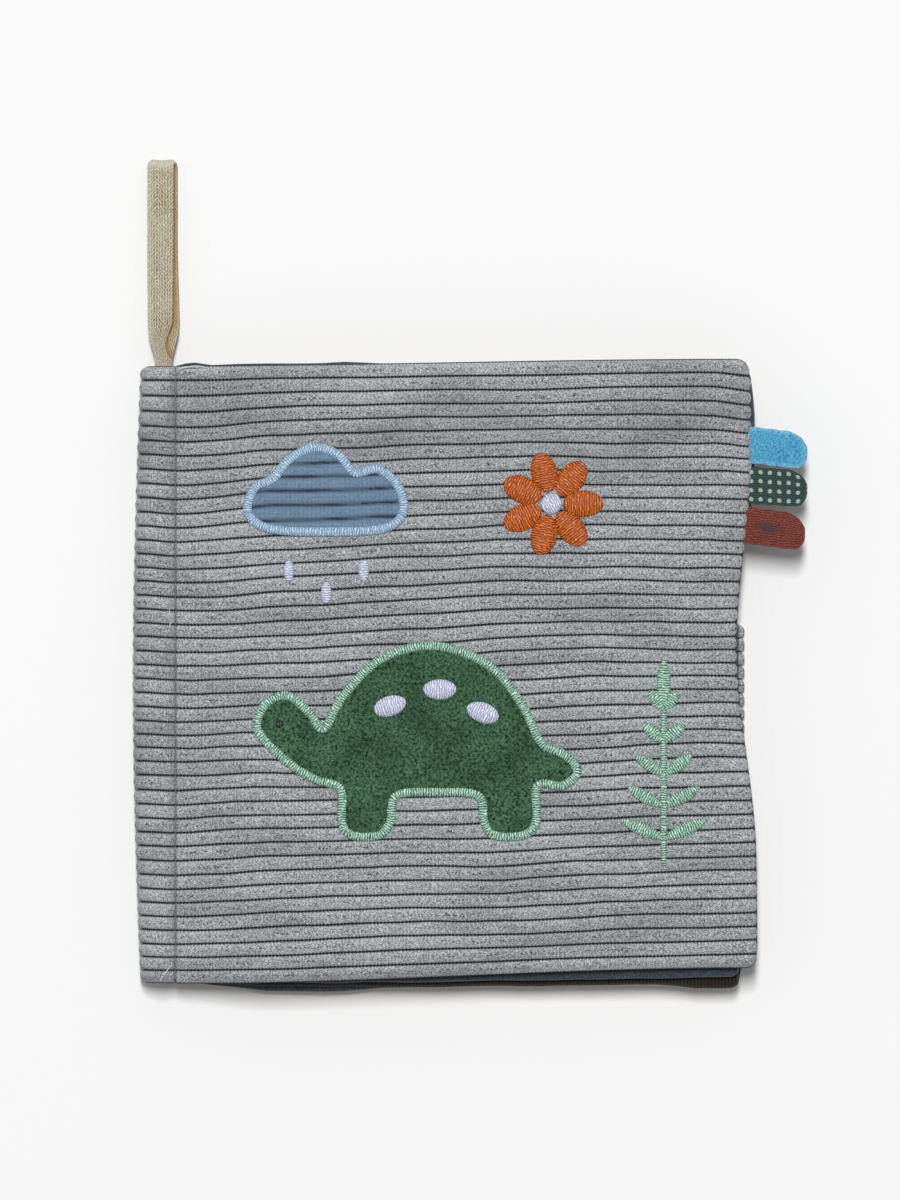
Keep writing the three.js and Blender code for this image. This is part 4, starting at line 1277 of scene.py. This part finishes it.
def tab_piece(name, node, material, curve, lean):
    """A folded ribbon. curve is how far its tip droops, lean how much it runs down the page."""
    root_x, root_y = TAB_ROOTS[node]
    count = len(TAB_LINE) - 1

    def at(u, s):
        index = round(u * count)
        point = TAB_LINE[index]
        ahead = (TAB_LINE[min(count, index + 1)] - TAB_LINE[max(0, index - 1)]).normalized()
        across, up = tape_section(s)
        from_tip = max(0.05, TAB_REACH - 1 - point.x)
        # The tip is rounder on its upper side
        above = (1 + across) / 2
        rounding = mix(4.0 * (1 - roll(from_tip, 4.2)), 5.0 * (1 - roll(from_tip, 6.6)), above)
        half = TAB_WIDTH / 2 - 0.2 - rounding
        edge = 0.12 * math.sin(point.x * 1.3 + across)
        thick = 0.44 * up * (1 - 0.3 * abs(across) ** 4)
        droop = -curve * (max(0, point.x) / TAB_REACH) ** 2
        y = root_y + across * half - lean * (point.x + 1) + edge
        z = TAB_Z + point.y + ahead.x * thick + droop
        return (root_x + point.x - ahead.y * thick, y, z)

    def weave(u, s):
        index = round(u * count)
        return (TAB_LINE[index].x, tape_section(s)[0] * TAB_WIDTH / 2, 0)

    return band(name, material, count, 24, at, weave)


tabs = {
    "felt_tab": tab_piece("felt_ribbon_tab", "felt_tab", blue_felt, 0.9, 0.12),
    "printed_tab": tab_piece("printed_ribbon_tab", "printed_tab", printed, 0.6, 0.065),
    "velvet_tab": tab_piece("velour_ribbon_tab", "velvet_tab", red_velour, 1.0, 0.13),
}


# Applique and embroidery on the front cover
def satin_border(name, material, outline, width, height):
    """A dense band of satin stitches along a patch's edge, each stitch across the band."""
    count = len(outline)
    normals = normals_of(outline)
    runs = [0]
    for i in range(count):
        runs.append(runs[-1] + (outline[(i + 1) % count] - outline[i]).length)

    def at(u, s):
        index = round(u * count)
        angle = 2 * math.pi * s
        ragged = 1 + 0.06 * uneven(runs[index] * 1.4, 0, 4.2)
        place = outline[index % count] + normals[index % count] * math.cos(angle) * width / 2 * ragged
        up = math.sin(angle)
        return on_cover(place.x, place.y, up * height if up > 0 else up * 0.35, 0.25)

    def weave(u, s):
        return (math.cos(2 * math.pi * s), runs[round(u * count)], 0)

    return band(name, material, count, 14, at, weave)


def stitched_lens(bm, x, y, length, width, turn, height, full=0.5):
    """A domed shape of satin stitches across a middle line: pointed or round at its ends by full,
    0.5 for an oval and more for a leaf."""
    heading = Vector((math.cos(turn), math.sin(turn)))
    side = Vector((-heading.y, heading.x))

    def place(u, s):
        t = 0.5 - 0.5 * math.cos(math.pi * u)
        half = width / 2 * max(0.02, (4 * t * (1 - t)) ** full)
        angle = 2 * math.pi * s
        point = Vector((x, y)) + heading * (t - 0.5) * length + side * math.cos(angle) * half
        up = math.sin(angle) * (half / (width / 2)) ** 0.7
        return point, (up * height if up > 0 else up * 0.4)

    def at(u, s):
        point, up = place(u, s)
        return on_cover(point.x, point.y, up, 0.2)

    def weave(u, s):
        return (0, place(u, s)[0].dot(heading), 0)

    swept(bm, 22, 16, at, weave)


def patch(name, material, outline, spacing, thickness, sink):
    """A cloth patch over the wales: one face from the outline, cut into a fine grid, then thickened."""
    bm = bmesh.new()
    mark = bm.verts.layers.float_vector.new("weave")
    ring = [bm.verts.new((point.x, point.y, 0)) for point in outline]
    bm.faces.new(ring).normal_update()
    bmesh.ops.triangulate(bm, faces=bm.faces[:], quad_method="BEAUTY", ngon_method="EAR_CLIP")
    for axis, step in ((0, spacing * 2.5), (1, spacing)):
        places = [point[axis] for point in outline]
        normal = Vector((1, 0, 0)) if axis == 0 else Vector((0, 1, 0))
        for cut in range(1, int((max(places) - min(places)) / step) + 1):
            everything = bm.verts[:] + bm.edges[:] + bm.faces[:]
            plane = normal * (min(places) + cut * step + 0.013)
            bmesh.ops.bisect_plane(bm, geom=everything, plane_co=plane, plane_no=normal)
    lower, upper = thickened(bm)
    for verts, z in ((lower, -0.1), (upper, thickness)):
        for vert in verts:
            x, y, _ = vert.co
            _, v = cover_shares(x, y)
            vert[mark] = (x, y, groove_share(v))
            vert.co = Vector(on_cover(x, y, z, sink)) * MM
    return finished(bm, name, material)


TORTOISE = [
    (-0.5, 0.15), (-0.475, 0.225), (-0.41, 0.25), (-0.345, 0.2), (-0.3, 0.15), (-0.24, 0.25),
    (-0.12, 0.365), (0.04, 0.4), (0.2, 0.34), (0.3, 0.22), (0.355, 0.11), (0.43, 0.07),
    (0.465, 0.02), (0.42, -0.02), (0.345, -0.02), (0.34, -0.13), (0.3, -0.17), (0.215, -0.17),
    (0.185, -0.13), (0.165, -0.05), (0.04, -0.04), (-0.08, -0.05), (-0.1, -0.13), (-0.135, -0.17),
    (-0.215, -0.17), (-0.245, -0.13), (-0.25, -0.03), (-0.33, 0), (-0.42, 0.06),
]
CLOUD = [
    (-0.5, 0.1), (-0.46, 0.26), (-0.34, 0.32), (-0.24, 0.44), (-0.08, 0.52), (0.08, 0.47),
    (0.18, 0.36), (0.33, 0.38), (0.46, 0.27), (0.49, 0.1), (0.36, 0), (0, -0.02), (-0.36, 0),
]
# Places and sizes of the motifs
TORTOISE_SIZE, TORTOISE_X, TORTOISE_Y = 106, -7, -34
CLOUD_SIZE, CLOUD_X, CLOUD_Y = 50, -38, 46
FLOWER_X, FLOWER_Y, PETAL_REACH, PETALS = 34, 54, 10.2, 7
FERN_X, FERN_FOOT, FERN_HEIGHT, FERN_REACH, FERN_PAIRS = 70, -62, 62, 14, 5
LEAFLET_RISE = 6.2
SHELL_SPOTS = [(-0.1, 0.22, 0.3), (0.05, 0.27, 0), (0.18, 0.2, -0.35)]
RAIN = [(-50, 32.5), (-38, 25.5), (-26, 32.5)]

tortoise_line = smooth_outline(TORTOISE, TORTOISE_SIZE, TORTOISE_X, TORTOISE_Y, 300)
cloud_line = smooth_outline(CLOUD, CLOUD_SIZE, CLOUD_X, CLOUD_Y, 150)
velvet_patch = patch("tortoise_velvet", green_velvet, tortoise_line, 0.9, 0.7, 0.45)
velvet_border = satin_border("tortoise_border", mint_satin, tortoise_line, 3.0, 1.35)
net_patch = patch("cloud_net", blue_net, moved_out(cloud_line, -0.4), 0.75, 0.35, 0.8)
net_border = satin_border("cloud_border", blue_satin, cloud_line, 3.0, 1.2)
embroidery = {}


def embroider(node, name, material, *lenses):
    """A piece of satin stitches, made of one lens shape or more."""
    bm = bmesh.new()
    for lens in lenses:
        stitched_lens(bm, *lens)
    embroidery[node] = finished(bm, name, material)


def on_tortoise(across, up):
    return TORTOISE_X + across * TORTOISE_SIZE, TORTOISE_Y + up * TORTOISE_SIZE


def petal(number):
    angle = 2 * math.pi * number / PETALS
    x, y = FLOWER_X + PETAL_REACH * math.cos(angle), FLOWER_Y + PETAL_REACH * math.sin(angle)
    return x, y, 13, 8.6, angle, 1.2


def leaflet(pair, side):
    reach = FERN_REACH * (1 - (pair - 1) / (FERN_PAIRS + 1))
    x, y = FERN_X + side * reach / 2, FERN_FOOT + pair * FERN_HEIGHT / (FERN_PAIRS + 1) + 1.5
    turn = math.atan2(LEAFLET_RISE, side * reach)
    return x, y, math.hypot(reach, LEAFLET_RISE), 4.2, turn, 1.2, 0.75


for number, (across, up, turn) in enumerate(SHELL_SPOTS, 1):
    lens = (*on_tortoise(across, up), 11, 7, turn, 1.7)
    embroider(f"shell_spot_{number}", f"shell_spot_stitches_{number}", lilac_satin, lens)
eye = (*on_tortoise(-0.435, 0.165), 3, 3, 0, 1.6)
embroider("tortoise_eye", "tortoise_eye_stitches", dark_satin, eye)
for number, place in enumerate(RAIN, 1):
    lens = (*place, 7, 3.4, math.pi / 2, 1.1)
    embroider(f"rain_stitch_{number}", f"rain_satin_stitch_{number}", lilac_satin, lens)
embroider("flower_petals", "flower_petal_stitches", orange_satin, *(petal(n) for n in range(PETALS)))
bud = (FLOWER_X, FLOWER_Y, 6.8, 6.8, 0.5, 1.6)
embroider("flower_bud", "flower_bud_stitches", lilac_satin, bud)
fern = [leaflet(pair, side) for pair in range(1, FERN_PAIRS + 1) for side in (1, -1)]
fern.append((FERN_X, -3.6, 16, 4.4, math.pi / 2, 1.2, 0.75))
fern.append((FERN_X, -36.5, 51, 2.2, math.pi / 2, 1.1, 0.12))
embroider("fern_embroidery", "fern_stitches", mint_satin, *fern)


# What each piece rides on and stands for
def fitted(piece, body, slot, *nodes):
    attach(piece, body)
    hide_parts(*nodes)


def hinged(piece, below, body, slot, node):
    """A piece next to its seam, baked in place; it hides the part that it stands for."""
    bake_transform(piece)
    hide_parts(node)


fitted(spine, "book_block", "corduroy", "spine_wrap")
fitted(binding, "book_block", "binding_thread", "binding_thread")
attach(thread_ends, "book_block")
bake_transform(head_thread_ends)
for (node, piece), slot in zip(margins.items(), ("lining", "page_tan", "page_brown", "page_navy", "lining")):
    fitted(piece, "book_block", slot, node)
fitted(loop_tail, "book_block", "cotton_tape", "hang_loop_tail")
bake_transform(loop)
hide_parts("hang_loop")
fitted(back_corduroy, "book_block", "corduroy", "back_cover_corduroy")
for piece, slot, node in zip(
    back_inside, ("wadding", "crinkle_film", "lining"), ("wadding", "film", "lining")
):
    fitted(piece, "book_block", slot, f"back_cover_{node}")

BELOW = {"leaf_3": "book_block", "leaf_2": "leaf_3", "leaf_1": "leaf_2", "front_cover": "leaf_1"}
PAGE_SLOTS = {
    "leaf_3": ("page_navy", "page_tan"),
    "leaf_2": ("page_brown", "page_tan"),
    "leaf_1": ("page_navy", "page_teal"),
}
for prefix, (front_page, film, back_page) in leaves.items():
    hinged(front_page, BELOW[prefix], prefix, PAGE_SLOTS[prefix][0], f"{prefix}_front_cloth")
    hinged(back_page, BELOW[prefix], prefix, PAGE_SLOTS[prefix][1], f"{prefix}_back_cloth")
    fitted(film, prefix, "crinkle_film", f"{prefix}_film")
hinged(front_corduroy, "leaf_1", "front_cover", "corduroy", "front_cover_corduroy")
hinged(front_inside[2], "leaf_1", "front_cover", "lining", "front_cover_lining")
fitted(front_inside[0], "front_cover", "wadding", "front_cover_wadding")
fitted(front_inside[1], "front_cover", "crinkle_film", "front_cover_film")
for node, piece in tabs.items():
    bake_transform(piece)
    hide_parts(node)
fitted(velvet_patch, "front_cover", "green_velvet", "tortoise_velvet_patch")
fitted(velvet_border, "front_cover", "mint_satin", "tortoise_satin_border")
fitted(net_patch, "front_cover", "blue_mesh", "cloud_mesh_patch")
fitted(net_border, "front_cover", "blue_satin", "cloud_satin_border")
THREAD_SLOTS = {
    "tortoise_eye": "dark_satin",
    "flower_petals": "orange_satin",
    "fern_embroidery": "mint_satin",
}
for node, piece in embroidery.items():
    fitted(piece, "front_cover", THREAD_SLOTS.get(node, "lilac_satin"), node)

# Floor
bm = bmesh.new()
bmesh.ops.create_grid(bm, x_segments=1, y_segments=1, size=3)
floor_material, floor_tree, floor_shader = new_material("pale_floor", 0.9, 0, 0.5, 0.1)
paper = grain(floor_tree, 1.5)
floor_shade = blended(floor_tree, paper, "#ebebeb", "#ececec")
paint(floor_tree, floor_shader, floor_shade)
floor = finished(bm, "floor", floor_material, False)

# Light and camera
world = bpy.data.worlds.new("studio")
bpy.context.scene.world = world
world.use_nodes = True
world.node_tree.nodes["Background"].inputs["Color"].default_value = colour("#ffffff")
world.node_tree.nodes["Background"].inputs["Strength"].default_value = 0.3


def soft_light(name, place, width, length, power):
    light = bpy.data.lights.new(name, "AREA")
    light.shape = "RECTANGLE"
    light.size = width
    light.size_y = length
    light.energy = power
    lamp = bpy.data.objects.new(name, light)
    lamp.location = place
    lamp.rotation_mode = "QUATERNION"
    lamp.rotation_quaternion = (-Vector(place)).to_track_quat("-Z", "Y")
    bpy.context.scene.collection.objects.link(lamp)


soft_light("strip_light", (-0.1, 2.4, 8), 0.9, 2.8, 610)

camera_data = bpy.data.cameras.new("camera")
camera_data.sensor_width = 36
camera_data.lens = 400
camera_data.clip_start = 0.05
camera_data.clip_end = 20
camera = bpy.data.objects.new("camera", camera_data)
camera.location = (1.6 * MM, 23.2 * MM, (192 * 400 / 18 + 24) * MM)
bpy.context.scene.collection.objects.link(camera)
bpy.context.scene.camera = camera
bpy.context.scene.view_settings.view_transform = "Standard"
